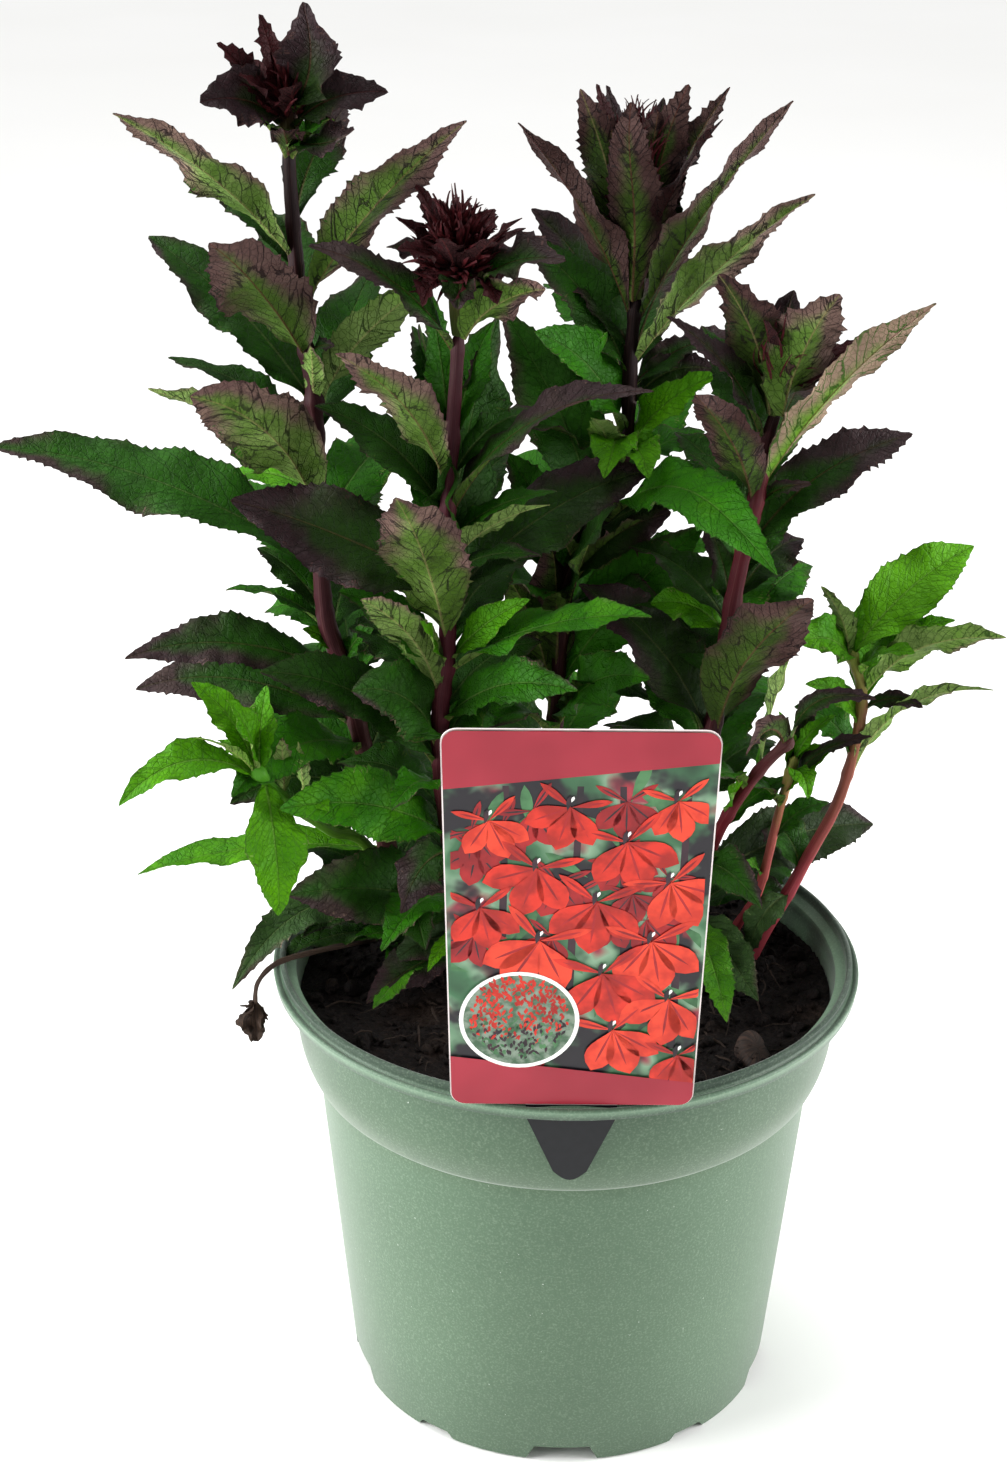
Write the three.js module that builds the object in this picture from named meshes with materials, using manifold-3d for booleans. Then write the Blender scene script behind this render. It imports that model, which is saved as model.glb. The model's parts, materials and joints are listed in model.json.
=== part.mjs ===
// Potted fan scarlet lobelia: four leafy stems with bud heads and four young shoots in a nursery pot.
// Millimetres, +Z up. The origin is on the pot's axis, in the plane that the pot stands on.
// The front, where the plant label stands, faces -Y.
import * as THREE from 'three';
import { mergeVertices } from 'three/addons/utils/BufferGeometryUtils.js';
import Module from 'manifold-3d';

const wasm = await Module();
wasm.setup();

// Pot
const POT_HEIGHT = 136;
const LIP_RADIUS = 85;
const LIP_HEIGHT = 6;
const LIP_SHOULDER = 2.4;
const LIP_BEVEL = 1.6;
const LIP_INSIDE = 80.6;
const NECK_RADIUS = 79.6;
const BASE_RADIUS = 63;
const FOOT_WIDTH = 5;
const COLLAR_Z = 100;
const COLLAR_RADIUS = 72.5;
const NECK = [[75.2, 103], [78, 112]];
const WALL = 1.6;
const FLOOR_Z = 5.6;
const FLOOR_TOP = 8;
const BOSS_RADIUS = 18;
const BOSS_SLOPE = 1.5;
const BOSS_TOP = 2.2;
const POT_SIDES = 25;
const NOTCH_COUNT = 5;
const NOTCH_HEIGHT = 5.3;
const NOTCH_WIDTH = 22;
const SMALL_NOTCH_HEIGHT = 2.6;
const SMALL_NOTCH_WIDTH = 15;
const NOTCH_SLANT = 3;
const NOTCH_DEPTH = 20;
const NOTCH_INNER = 51;
const DRAIN_RADIUS = 4;
const DRAIN_CIRCLE = 42;

// Compost
const SOIL_TOP = 124;
const SOIL_GAP = 0.45;
const SOIL_SWELL = 1.3;
const SOIL_RINGS = [56, 30, 0];
const SOIL_EDGE = 70;
const HOLE_GAP = 0.9;
const ROOT_Z = 108;

// Plant label: one plastic sheet, a card with a tongue that hangs through a slot in the pot's lip
const CARD_FOOT_WIDTH = 63.5;
const CARD_TOP_WIDTH = 67.5;
const CARD_HEIGHT = 112;
const CARD_CORNER = 4;
const SHEET = 0.8;
const TONGUE_WIDTH = 24;
const TONGUE_TIP_WIDTH = 9;
const TONGUE_LENGTH = 29;
const LABEL_Y = -82.2;
const LABEL_LEAN = THREE.MathUtils.degToRad(7.5);
const SLOT_WIDTH = 25.4;
const SLOT_DEPTH = 1.8;
const LABEL_LIFT = 0.5;

// Leaves
const LEAF_THICKNESS = 1.1;
const LEAF_FOLD = 0.22;
const LEAF_NECK = 0.15;
const TWIST_END = 0.3;
const LEAF_STATIONS = [0, 0.15, 0.38, 0.62, 0.85];
const SMALL_STATIONS = [0, 0.3, 0.68];
const SHORT_STATIONS = [0, 0.42];
const SHORT_LEAF = 30;
const JOINT_GAP = 0.6;
const STEM_SIDES = 6;
const BUD_RADIUS = 1.5;

const COLOURS = {
  young: 0x56b01e,
  green: 0x2f7a1a,
  dark: 0x1f3a1a,
  bronze: 0x4a3236,
  pale: 0x8fa56a,
};

const material = (color, roughness = 0.6) => new THREE.MeshStandardMaterial({ color, roughness, metalness: 0 });

// Stems: path from inside the compost to the top, radius at the foot and at the top.
// A leaf row is the height of its joint on the stem, its tip x, y, z, its width, how far its
// midrib arches, the roll of its blade in degrees, and its colour. Large leaves are pieces of
// their own, and the small ones have grown together with their stem.
const STEMS = {
  left: {
    path: [[-47, 23, 108], [-47, 23, 124], [-58, 16, 187], [-65, 12, 220], [-69, 10, 240],
      [-70, 8, 296], [-73, 8, 319], [-75, 8, 356], [-75, 8, 364]],
    radius: [3.1, 1.6],
    colour: 0x4a2430,
    large: [
      [337, -116, -17, 377, 15, 3, 40, 'bronze'],
      [324, -29, -12, 375, 16, 3, -45, 'bronze'],
      [311, -92, -30, 348, 20, 5, 30, 'bronze'],
      [297, -116, 34, 335, 20, 4, -30, 'green'],
      [288, -55, 42, 326, 19, 4, 0, 'green'],
      [269, -98, -33, 310, 23, 6, 45, 'bronze'],
      [250, -160, 18, 280, 22, 8, -25, 'dark'],
      [216, -124, 2, 224, 15, 13, -40, 'dark'],
      [200, -124, 18, 208, 19, 8, -40, 'bronze'],
      [174, -96, -1, 181, 18, 8, -40, 'green'],
      [157, -127, 21, 147, 17, 10, -5, 'green'],
    ],
    small: [
      [345, -62, 36, 370, 14, 4, 10, 'bronze'],
      [333, -102, 22, 357, 10, 3, -25, 'dark'],
      [318, -84, 50, 338, 16, 5, -10, 'dark'],
      [310, -64, 4, 313, 4, 1, 40, 'bronze'],
      [296, -70, 0, 314, 6, 1, -25, 'pale'],
      [297, -38, 8, 330, 12, 3, -80, 'pale'],
      [286, -111, 24, 304, 11, 4, -10, 'dark'],
      [277, -115, 11, 299, 11, 3, 50, 'pale'],
      [270, -104, 36, 255, 9, 9, -35, 'young'],
      [258, -46, 52, 276, 18, 6, 20, 'green'],
      [240, -96, 54, 258, 18, 6, -20, 'green'],
      [235, -89, 30, 247, 10, 3, -20, 'dark'],
      [231, -97, 17, 239, 7, 4, 0, 'green'],
      [222, -75, 8, 231, 5, 2, -55, 'young'],
      [228, -88, 33, 226, 9, 5, -35, 'green'],
      [218, -55, 6, 232, 7, 2, 60, 'green'],
      [210, -55, 5, 224, 7, 2, 60, 'green'],
      [206, -68, 64, 220, 18, 8, 0, 'green'],
      [184, -102, 50, 192, 16, 8, -20, 'green'],
      [164, -50, 70, 172, 17, 9, 10, 'green'],
      [131, -96, -14, 128, 13, 17, -25, 'dark'],
    ],
  },
  front: {
    path: [[-28, 18, 108], [-28, 18, 124], [-30, 10, 140], [-35, -4, 185], [-36, -6, 212],
      [-34, -8, 235], [-34, -10, 271], [-32, -10, 303], [-31, -10, 321]],
    radius: [3.3, 1.6],
    colour: 0x5a2a3a,
    large: [
      [316, -68, -24, 346, 11, 5, -40, 'bronze'],
      [281, -61, -36, 322, 14, 5, 40, 'pale'],
      [272, -69, -4, 299, 14, 5, -40, 'dark'],
      [273, 19, -22, 309, 14, 9, 20, 'bronze'],
      [247, 22, 13, 277, 21, 6, 35, 'dark'],
      [251, -91, -14, 275, 22, 8, -50, 'dark'],
      [237, -46, -46, 288, 22, 3, 10, 'pale'],
      [226, 20, -29, 250, 15, 5, 20, 'young'],
      [210, 1, -32, 230, 14, 6, 50, 'green'],
      [203, -59, -29, 228, 21, 6, -65, 'dark'],
      [197, -84, -21, 230, 19, 7, -50, 'green'],
      [175, -79, -31, 195, 17, 9, -45, 'young'],
      [141, -78, -24, 164, 24, 5, -65, 'dark'],
    ],
    small: [
      [292, -22, 4, 320, 11, 2, 10, 'green'],
      [292, -44, 14, 316, 10, 2, 0, 'dark'],
      [289, -39, 4, 328, 10, 2, 5, 'green'],
      [281, -6, 12, 292, 9, 7, 30, 'dark'],
      [264, -5, -10, 278, 7, 3, 20, 'green'],
      [258, -7, -21, 278, 8, 3, -35, 'pale'],
      [262, -44, 26, 278, 15, 5, 0, 'green'],
      [254, -9, -16, 262, 7, 3, 20, 'dark'],
      [232, -22, 26, 246, 15, 6, 10, 'green'],
      [228, -12, -17, 250, 9, 2, 60, 'young'],
      [227, -41, -21, 245, 6, 1, -60, 'young'],
      [225, -63, -15, 251, 12, 4, -55, 'green'],
      [219, -56, -31, 255, 12, 4, 40, 'pale'],
      [219, -52, 10, 233, 8, 3, -25, 'green'],
      [189, -49, -27, 192, 11, 5, -10, 'green'],
      [190, -20, 22, 204, 14, 6, 10, 'green'],
      [166, -47, -21, 157, 17, 6, 60, 'bronze'],
      [134, -40, -8, 131, 5, 3, -15, 'young'],
    ],
  },
  back: {
    path: [[-6, 34, 108], [-6, 34, 124], [-4, 30, 180], [-1, 30, 235], [8, 32, 252],
      [15, 36, 278], [16, 38, 303], [17, 38, 319]],
    radius: [2.8, 1.6],
    colour: 0x3a1a22,
    large: [
      [314, -16, 30, 367, 14, 3, 25, 'bronze'],
      [313, 56, 26, 374, 15, 2, -30, 'bronze'],
      [304, -12, 54, 339, 18, 3, -30, 'dark'],
      [301, 63, 24, 350, 15, 3, -45, 'bronze'],
      [280, -10, 20, 313, 16, 5, -60, 'young'],
      [254, -20, 24, 317, 15, 3, -70, 'dark'],
      [255, 51, -40, 266, 18, 16, 35, 'young'],
      [230, 43, 41, 246, 16, 3, 30, 'green'],
    ],
    small: [
      [298, 32, 72, 324, 16, 4, 0, 'bronze'],
      [293, 47, 48, 305, 10, 4, 20, 'bronze'],
      [288, 41, 40, 297, 10, 5, 45, 'dark'],
      [296, -8, 78, 312, 17, 5, 0, 'green'],
      [277, 8, 4, 277, 13, 5, 0, 'young'],
      [274, 20, 4, 277, 13, 5, 0, 'young'],
      [272, 40, 23, 301, 12, 4, 55, 'young'],
      [265, 40, 78, 282, 18, 7, 10, 'green'],
      [269, 5, 10, 292, 10, 2, 0, 'pale'],
      [250, -22, 66, 262, 18, 7, -10, 'green'],
      [237, 32, 27, 263, 11, 4, -35, 'bronze'],
      [221, 22, 78, 235, 20, 8, 5, 'green'],
      [205, -18, 74, 214, 18, 8, -5, 'green'],
      [194, 21, -14, 226, 17, 6, 60, 'green'],
      [182, 22, 72, 190, 18, 9, 10, 'green'],
      [160, -12, 76, 166, 16, 9, 0, 'green'],
    ],
  },
  right: {
    path: [[22, 22, 108], [22, 22, 124], [30, 8, 160], [40, 0, 206], [44, -4, 248],
      [48, -8, 275], [50, -9, 292], [52, -10, 301]],
    radius: [3.6, 1.6],
    colour: 0x6a2430,
    large: [
      [288, 33, 9, 318, 13, 2, -20, 'green'],
      [282, 89, -24, 333, 14, 3, -35, 'bronze'],
      [276, 29, -32, 311, 14, 3, 25, 'bronze'],
      [260, 91, 8, 289, 17, 6, 35, 'bronze'],
      [207, 61, -36, 258, 21, 5, -30, 'bronze'],
      [203, 2, 13, 243, 21, 6, -35, 'bronze'],
    ],
    small: [
      [292, 22, -17, 327, 10, 4, -40, 'bronze'],
      [274, 62, -12, 281, 4, 2, 40, 'bronze'],
      [270, 31, 8, 283, 6, 3, -20, 'dark'],
      [277, 66, 34, 298, 14, 5, 10, 'bronze'],
      [245, 65, 22, 254, 15, 4, 15, 'bronze'],
      [242, 36, 7, 266, 9, 2, -10, 'green'],
      [235, 22, 9, 239, 13, 4, -35, 'young'],
      [232, 31, 22, 238, 12, 3, -15, 'dark'],
      [225, 70, 38, 240, 17, 7, 10, 'green'],
      [202, 47, 13, 212, 8, 2, 0, 'green'],
      [190, 60, 50, 200, 18, 8, 10, 'green'],
    ],
  },
  young_left: {
    path: [[-40, 10, 108], [-40, 10, 124], [-57, 3, 165], [-68, -3, 174], [-79, -14, 189], [-86, -25, 203]],
    radius: [1.9, 1.2],
    colour: 0x6f9a3a,
    large: [
      [200, -122, -34, 196, 11, 13, -35, 'young'],
      [198, -80, -34, 163, 16, 6, -15, 'young'],
    ],
    small: [
      [202, -103, -19, 226, 10, 3, -30, 'young'],
      [202, -92, -31, 226, 9, 2, -60, 'young'],
      [201, -83, -16, 224, 10, 2, -10, 'young'],
      [202, -101, -33, 216, 4, 2, 30, 'young'],
      [190, -79, -17, 209, 5, 1, 10, 'pale'],
      [182, -75, -13, 206, 5, 1, -30, 'pale'],
      [130, -63, -4, 138, 6, 4, -20, 'green'],
      [128, -52, -3, 131, 12, 2, 0, 'green'],
      [127, -55, -24, 128, 10, 2, 0, 'pale'],
    ],
  },
  young_right: {
    path: [[56, 14, 108], [56, 14, 124], [67, 20, 144], [72, 22, 154], [80, 22, 173],
      [84, 20, 196], [84, 20, 209], [80, 20, 221]],
    radius: [2.6, 1.5],
    colour: 0x9a4a52,
    large: [
      [220, 117, 42, 245, 18, 4, 25, 'young'],
      [209, 121, 6, 231, 12, 6, -60, 'pale'],
    ],
    small: [
      [220, 70, 16, 242, 6, 2, 45, 'pale'],
      [220, 83, 24, 234, 5, 1, 0, 'young'],
      [215, 110, 24, 229, 8, 3, 20, 'young'],
      [218, 63, 8, 228, 13, 4, -55, 'young'],
      [205, 92, 46, 222, 12, 5, 10, 'young'],
      [203, 101, 14, 206, 5, 3, 40, 'bronze'],
      [198, 67, 14, 213, 8, 4, -60, 'young'],
      [182, 120, 11, 213, 9, 9, -40, 'pale'],
      [170, 100, 44, 184, 14, 7, 10, 'green'],
      [143, 54, 6, 129, 8, 5, -5, 'young'],
    ],
  },
  young_inner: {
    path: [[38, 30, 108], [38, 30, 124], [39, 12, 148], [43, 0, 173], [52, -8, 195], [61, -12, 208]],
    radius: [2.2, 1.6],
    colour: 0x8a2535,
    large: [
      [150, 94, 55, 149, 20, 8, 30, 'dark'],
    ],
    small: [
      [206, 82, -20, 223, 6, 7, 40, 'bronze'],
      [206, 47, -24, 208, 10, 6, 60, 'bronze'],
      [196, 62, 2, 233, 9, 2, -70, 'pale'],
      [180, 49, -11, 197, 7, 1, 60, 'young'],
      [138, 64, 40, 134, 14, 4, 30, 'green'],
      [137, 45, -30, 128, 12, 3, 0, 'pale'],
    ],
  },
  young_middle: {
    path: [[52, 30, 108], [52, 30, 124], [57, 14, 147], [61, 8, 176], [64, 4, 195]],
    radius: [1.9, 1.3],
    colour: 0xb04a52,
    large: [],
    small: [
      [190, 70, 12, 210, 6, 1, 10, 'bronze'],
      [193.5, 75, 6, 207, 5, 2, 35, 'young'],
      [188, 59, 6, 208, 6, 1, -40, 'young'],
      [186, 84, -4, 205, 6, 3, 30, 'bronze'],
      [181, 76, 2, 199, 8, 3, 40, 'young'],
      [190, 67, -7, 187, 7, 4, 0, 'young'],
      [153, 52, 7, 160, 4, 1, -40, 'pale'],
    ],
  },
};

// Bud heads: the core's foot, height and radius, the bracts and the pointed buds.
// A bract row is its foot x, y, z, its tip x, y, z, its width, its arch and its roll.
// A bud row is its foot and its tip.
const HEADS = {
  left: {
    foot: [-75, 8, 364.4],
    core: [15, 5.5],
    bracts: [
      [-74, 8, 375, -70, 5, 401, 13, 2, -20],
      [-77, 9, 376, -82, 12, 397, 8, 1, 20],
      [-77, 10, 374, -92, 12, 389, 8, 1, 20],
      [-76, 7, 373, -97, 0, 377, 11, 2, -50],
      [-76, 6, 371, -89, -7, 371, 9, 2, -20],
      [-73, 6, 373, -49, 2, 379, 8, 2, 40],
      [-74, 6, 370, -57, -6, 370, 10, 2, 20],
      [-75, 6, 368, -81, -2, 364, 7, 1, 0],
      [-74, 6, 368, -68, -2, 365, 7, 1, 0],
      [-76, 9, 372, -87, 24, 383, 9, 2, 0],
      [-74, 9, 372, -64, 22, 388, 9, 2, 0],
      [-75, 10, 370, -76, 33, 378, 10, 2, 0],
    ],
    buds: [
      [-76, 8, 376, -79, 6, 391], [-75, 7, 376, -75, 3, 390], [-77, 7, 375, -84, 2, 386],
      [-75, 9, 376, -76, 12, 393], [-73, 9, 375, -68, 12, 388], [-77, 9, 375, -84, 14, 388],
      [-74, 7, 375, -69, 0, 385], [-75, 10, 375, -74, 17, 387],
    ],
  },
  front: {
    foot: [-31, -10, 321.4],
    core: [22, 8],
    bracts: [
      [-31, -10, 334, -41, -8, 358, 5, 1, 0],
      [-31, -9, 335, -36, -3, 357, 5, 1, 0],
      [-31, -12, 334, -33, -17, 358, 5, 1, 0],
      [-30, -10, 336, -29, -8, 359, 5, 1, 0],
      [-30, -12, 334, -25, -20, 358, 5, 1, 0],
      [-29, -10, 334, -21, -11, 356, 5, 1, 0],
      [-28, -10, 333, -16, -9, 354, 5, 1, 0],
      [-28, -11, 332, -13, -16, 350, 6, 1, 0],
      [-29, -12, 331, -15, -24, 346, 6, 1, 0],
      [-33, -10, 333, -46, -12, 351, 6, 1, 0],
      [-33, -12, 331, -44, -24, 346, 6, 1, 0],
      [-31, -13, 331, -36, -32, 346, 8, 1, 0],
      [-30, -13, 331, -25, -33, 347, 8, 1, 0],
      [-28, -9, 330, -4, -6, 337, 9, 2, 0],
      [-30, -12, 328, -13, -26, 334, 11, 2, 20],
      [-31, -12, 328, -38, -28, 334, 9, 2, 0],
      [-32, -7, 331, -38, 9, 348, 7, 1, 0],
      [-29, -7, 331, -20, 10, 346, 7, 1, 0],
      [-30, -7, 329, -29, 15, 338, 9, 2, 0],
      [-33, -9, 329, -52, -3, 340, 8, 2, 0],
    ],
    buds: [
      [-32, -10, 339, -37, -12, 354], [-30, -11, 340, -30, -14, 357], [-29, -10, 340, -24, -14, 353],
      [-30, -9, 340, -32, -5, 356], [-29, -9, 339, -25, -3, 352], [-33, -10, 338, -42, -7, 349],
      [-28, -10, 338, -18, -14, 348], [-31, -12, 338, -35, -23, 351], [-29, -12, 338, -27, -24, 350],
      [-33, -11, 337, -41, -17, 347], [-28, -11, 337, -19, -20, 346], [-31, -8, 338, -32, 3, 350],
    ],
  },
  back: {
    foot: [17, 38, 319.4],
    core: [24, 7],
    bracts: [
      [17, 34, 324, 13, 22, 374, 16, 3, 0],
      [14, 36, 327, -1, 31, 375, 11, 2, 10],
      [14, 38, 328, 3, 43, 373, 9, 2, -20],
      [15, 40, 328, 8, 52, 373, 9, 2, 0],
      [20, 36, 327, 30, 29, 378, 11, 2, -10],
      [20, 39, 328, 43, 45, 375, 10, 2, 10],
      [20, 38, 326, 40, 35, 368, 10, 2, -10],
      [18, 41, 327, 24, 60, 368, 12, 2, 0],
      [20, 40, 326, 36, 54, 360, 10, 2, 0],
      [15, 40, 326, 2, 56, 358, 10, 2, 0],
    ],
    buds: [
      [17, 38, 340, 17, 42, 373], [18, 37, 340, 19, 35, 373], [19, 38, 340, 22, 46, 374],
      [19, 38, 340, 24, 40, 374], [19, 39, 339, 28, 49, 371], [16, 38, 339, 12, 45, 368],
      [17, 39, 340, 16, 51, 368], [18, 36, 339, 21, 31, 366], [19, 37, 338, 30, 38, 366],
      [16, 37, 338, 10, 38, 366],
    ],
  },
  right: {
    foot: [52, -10, 301.4],
    core: [15, 5.5],
    bracts: [
      [50, -11, 306, 35, -18, 338, 12, 2, -20],
      [53, -11, 306, 65, -23, 335, 14, 2, 0],
      [54, -9, 307, 75, -10, 318, 7, 2, 30],
      [51, -8, 309, 46, -4, 329, 7, 1, 0],
      [53, -8, 308, 55, 5, 324, 8, 1, 0],
      [54, -8, 308, 63, 6, 320, 8, 1, 0],
      [51, -8, 308, 47, 11, 321, 9, 1, 0],
      [52, -8, 307, 55, 16, 313, 10, 2, 0],
      [51, -9, 307, 36, 0, 316, 9, 2, 0],
    ],
    buds: [
      [52, -9, 311, 54, -10, 330], [51, -9, 311, 50, -13, 328], [53, -9, 311, 60, -10, 326],
      [52, -8, 311, 53, -2, 326], [51, -8, 311, 46, -9, 324], [53, -8, 310, 60, -2, 321],
    ],
  },
};

// A dead leaf on a long dry stalk, hanging over the left of the lip
const DRY_STALK = [[-50.5, 19.5, 128], [-60, 4, 134], [-73, -15, 141], [-82, -23, 142], [-87, -27, 138],
  [-88, -28, 131]];
const DRY_STALK_RADIUS = 0.9;
const DRY_BAG = { centre: [-88.3, -28, 126], half: [3.9, 3.6, 6.5] };

// A woody root stub, half sunk in the compost at the front right
const STUB = { centre: [51, -44, 125], half: [6.5, 5, 5] };

function vector(p) {
  return new THREE.Vector3(p[0], p[1], p[2]);
}

// A geometry as a solid for joining and cutting, and back
function solidOf(geometry) {
  const bare = new THREE.BufferGeometry();
  bare.setAttribute('position', geometry.getAttribute('position').clone());
  if (geometry.index) bare.setIndex(geometry.index.clone());
  const merged = mergeVertices(bare, 1e-4);
  return new wasm.Manifold(new wasm.Mesh({
    numProp: 3,
    vertProperties: new Float32Array(merged.getAttribute('position').array),
    triVerts: new Uint32Array(merged.index.array),
  }));
}

function geometryOf(solid) {
  const mesh = solid.getMesh();
  const geometry = new THREE.BufferGeometry();
  geometry.setAttribute('position', new THREE.BufferAttribute(new Float32Array(mesh.vertProperties), 3));
  geometry.setIndex(new THREE.BufferAttribute(new Uint32Array(mesh.triVerts), 1));
  geometry.computeVertexNormals();
  return geometry;
}

function joined(solids) {
  return solids.reduce((whole, solid) => whole.add(solid));
}

// A closed skin over rings of points, counted anticlockwise about the way they run.
// It ends in a flat cap, or in one tip point. Where it is mirrored, every second cell is split
// the other way, so that the upper and lower faces of a thin blade are split alike.
function skin(rings, tip, mirrored = false) {
  const count = rings[0].length;
  const points = rings.flat();
  const faces = [];
  const at = (ring, i) => ring * count + (i % count);
  for (let ring = 0; ring + 1 < rings.length; ring += 1) {
    for (let i = 0; i < count; i += 1) {
      const [a, b, c, d] = [at(ring, i), at(ring, i + 1), at(ring + 1, i + 1), at(ring + 1, i)];
      if (mirrored && i % 2 === 1) faces.push(a, b, d, b, c, d);
      else faces.push(a, b, c, a, c, d);
    }
  }
  for (let i = 1; i + 1 < count; i += 1) faces.push(at(0, 0), at(0, i + 1), at(0, i));
  const last = rings.length - 1;
  if (tip) {
    points.push(tip);
    for (let i = 0; i < count; i += 1) faces.push(at(last, i), at(last, i + 1), points.length - 1);
  } else {
    for (let i = 1; i + 1 < count; i += 1) faces.push(at(last, 0), at(last, i), at(last, i + 1));
  }
  const geometry = new THREE.BufferGeometry();
  geometry.setAttribute('position', new THREE.Float32BufferAttribute(points.flatMap((p) => [p.x, p.y, p.z]), 3));
  geometry.setIndex(faces);
  geometry.computeVertexNormals();
  return geometry;
}

// A round stem along a smooth curve, thinner towards its top
function stemGeometry(curve, footRadius, topRadius, steps, sides = STEM_SIDES) {
  const rings = [];
  for (let step = 0; step <= steps; step += 1) {
    const t = step / steps;
    const centre = curve.getPoint(t);
    const along = curve.getTangent(t);
    const across = new THREE.Vector3(1, 0, 0).addScaledVector(along, -along.x).normalize();
    const other = new THREE.Vector3().crossVectors(along, across);
    const radius = THREE.MathUtils.lerp(footRadius, topRadius, t);
    const ring = [];
    for (let i = 0; i < sides; i += 1) {
      const angle = (i / sides) * 2 * Math.PI;
      ring.push(centre.clone()
        .addScaledVector(across, radius * Math.cos(angle))
        .addScaledVector(other, radius * Math.sin(angle)));
    }
    rings.push(ring);
  }
  return skin(rings);
}

function stemCurve(points) {
  return new THREE.CatmullRomCurve3(points.map(vector), false, 'catmullrom', 0.5);
}

// Where a stem's curve passes a height
function parameterAt(curve, height) {
  let low = 0;
  let high = 1;
  for (let i = 0; i < 30; i += 1) {
    const middle = (low + high) / 2;
    if (curve.getPoint(middle).z < height) low = middle;
    else high = middle;
  }
  return (low + high) / 2;
}

// Half the blade's width, as a share of the greatest, at t from the foot to the tip
function bladeShare(t) {
  return Math.max(LEAF_NECK, Math.sin(Math.PI * t ** 0.8) ** 0.72);
}

function smallStations(foot, tip) {
  return foot.distanceTo(tip) < SHORT_LEAF ? SHORT_STATIONS : SMALL_STATIONS;
}

// A blade: a thin lens folded along its midrib, which arches between the foot and the tip
function bladeGeometry(foot, tip, width, arch, rollDegrees, stations) {
  const chord = tip.clone().sub(foot);
  const along = chord.clone().normalize();
  const up = new THREE.Vector3(0, 0, 1).addScaledVector(along, -along.z).normalize();
  const roll = THREE.MathUtils.degToRad(rollDegrees);
  const rings = stations.map((t) => {
    const centre = foot.clone().addScaledVector(chord, t).addScaledVector(up, 4 * arch * t * (1 - t));
    const tangent = chord.clone().addScaledVector(up, 4 * arch * (1 - 2 * t)).normalize();
    const normal = up.clone().applyAxisAngle(along, roll * Math.min(1, t / TWIST_END));
    normal.addScaledVector(tangent, -normal.dot(tangent)).normalize();
    const side = new THREE.Vector3().crossVectors(normal, tangent);
    const half = (width / 2) * bladeShare(t);
    const thick = (LEAF_THICKNESS / 2) * (1 - 0.5 * t);
    const edge = (sign) => centre.clone()
      .addScaledVector(side, sign * half)
      .addScaledVector(normal, LEAF_FOLD * half);
    return [
      edge(1),
      centre.clone().addScaledVector(normal, thick),
      edge(-1),
      centre.clone().addScaledVector(normal, -thick),
    ];
  });
  return skin(rings, tip, true);
}

// The foot of a leaf on its stem: on the surface with a gap, or sunk in where it has grown fast
function leafFoot(curve, stem, row, grownFast) {
  const t = parameterAt(curve, row[0]);
  const centre = curve.getPoint(t);
  const along = curve.getTangent(t);
  const outward = vector(row.slice(1, 4)).sub(centre);
  outward.addScaledVector(along, -outward.dot(along)).normalize();
  const radius = THREE.MathUtils.lerp(stem.radius[0], stem.radius[1], t);
  return centre.addScaledVector(outward, grownFast ? 0.3 * radius : radius + JOINT_GAP);
}

function leafGeometry(curve, stem, row, grownFast) {
  const foot = leafFoot(curve, stem, row, grownFast);
  const tip = vector(row.slice(1, 4));
  const stations = grownFast ? smallStations(foot, tip) : LEAF_STATIONS;
  return bladeGeometry(foot, tip, row[4], row[5], row[6], stations);
}

// A closed thin-walled pot with a rolled lip, a stepped collar, feet round its base and a centre boss
function potSolid() {
  const lipFoot = POT_HEIGHT - LIP_HEIGHT;
  const outline = [
    [0, 0], [BOSS_RADIUS, 0], [BOSS_RADIUS + BOSS_SLOPE, FLOOR_Z],
    [BASE_RADIUS - FOOT_WIDTH - 1, FLOOR_Z], [BASE_RADIUS - FOOT_WIDTH, 0], [BASE_RADIUS, 0],
    [COLLAR_RADIUS, COLLAR_Z], ...NECK, [NECK_RADIUS, lipFoot],
    [LIP_RADIUS - LIP_BEVEL / 2, lipFoot], [LIP_RADIUS, POT_HEIGHT - LIP_SHOULDER],
    [LIP_RADIUS - LIP_BEVEL, POT_HEIGHT], [LIP_INSIDE, POT_HEIGHT], [NECK_RADIUS - WALL, lipFoot],
    ...NECK.map(([r, z]) => [r - WALL, z]).reverse(), [COLLAR_RADIUS - WALL, COLLAR_Z],
    [BASE_RADIUS - WALL, FLOOR_TOP], [BOSS_RADIUS + BOSS_SLOPE, FLOOR_TOP], [BOSS_RADIUS - BOSS_SLOPE, BOSS_TOP],
    [0, BOSS_TOP],
  ].map(([r, z]) => new THREE.Vector2(r, z));
  const lathe = new THREE.LatheGeometry(outline, POT_SIDES);
  lathe.rotateX(Math.PI / 2);
  return cutPot(solidOf(lathe));
}

// A notch with slanted sides, cut in from below at an angle round the base
function notchSolid(angle, width, height) {
  const shape = new THREE.Shape();
  shape.moveTo(-width / 2, -1);
  shape.lineTo(width / 2, -1);
  shape.lineTo(width / 2 - NOTCH_SLANT, height);
  shape.lineTo(NOTCH_SLANT - width / 2, height);
  shape.closePath();
  const geometry = new THREE.ExtrudeGeometry(shape, { depth: NOTCH_DEPTH, bevelEnabled: false });
  geometry.rotateX(Math.PI / 2);
  geometry.translate(0, -NOTCH_INNER, 0);
  geometry.rotateZ(angle);
  return solidOf(geometry);
}

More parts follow.
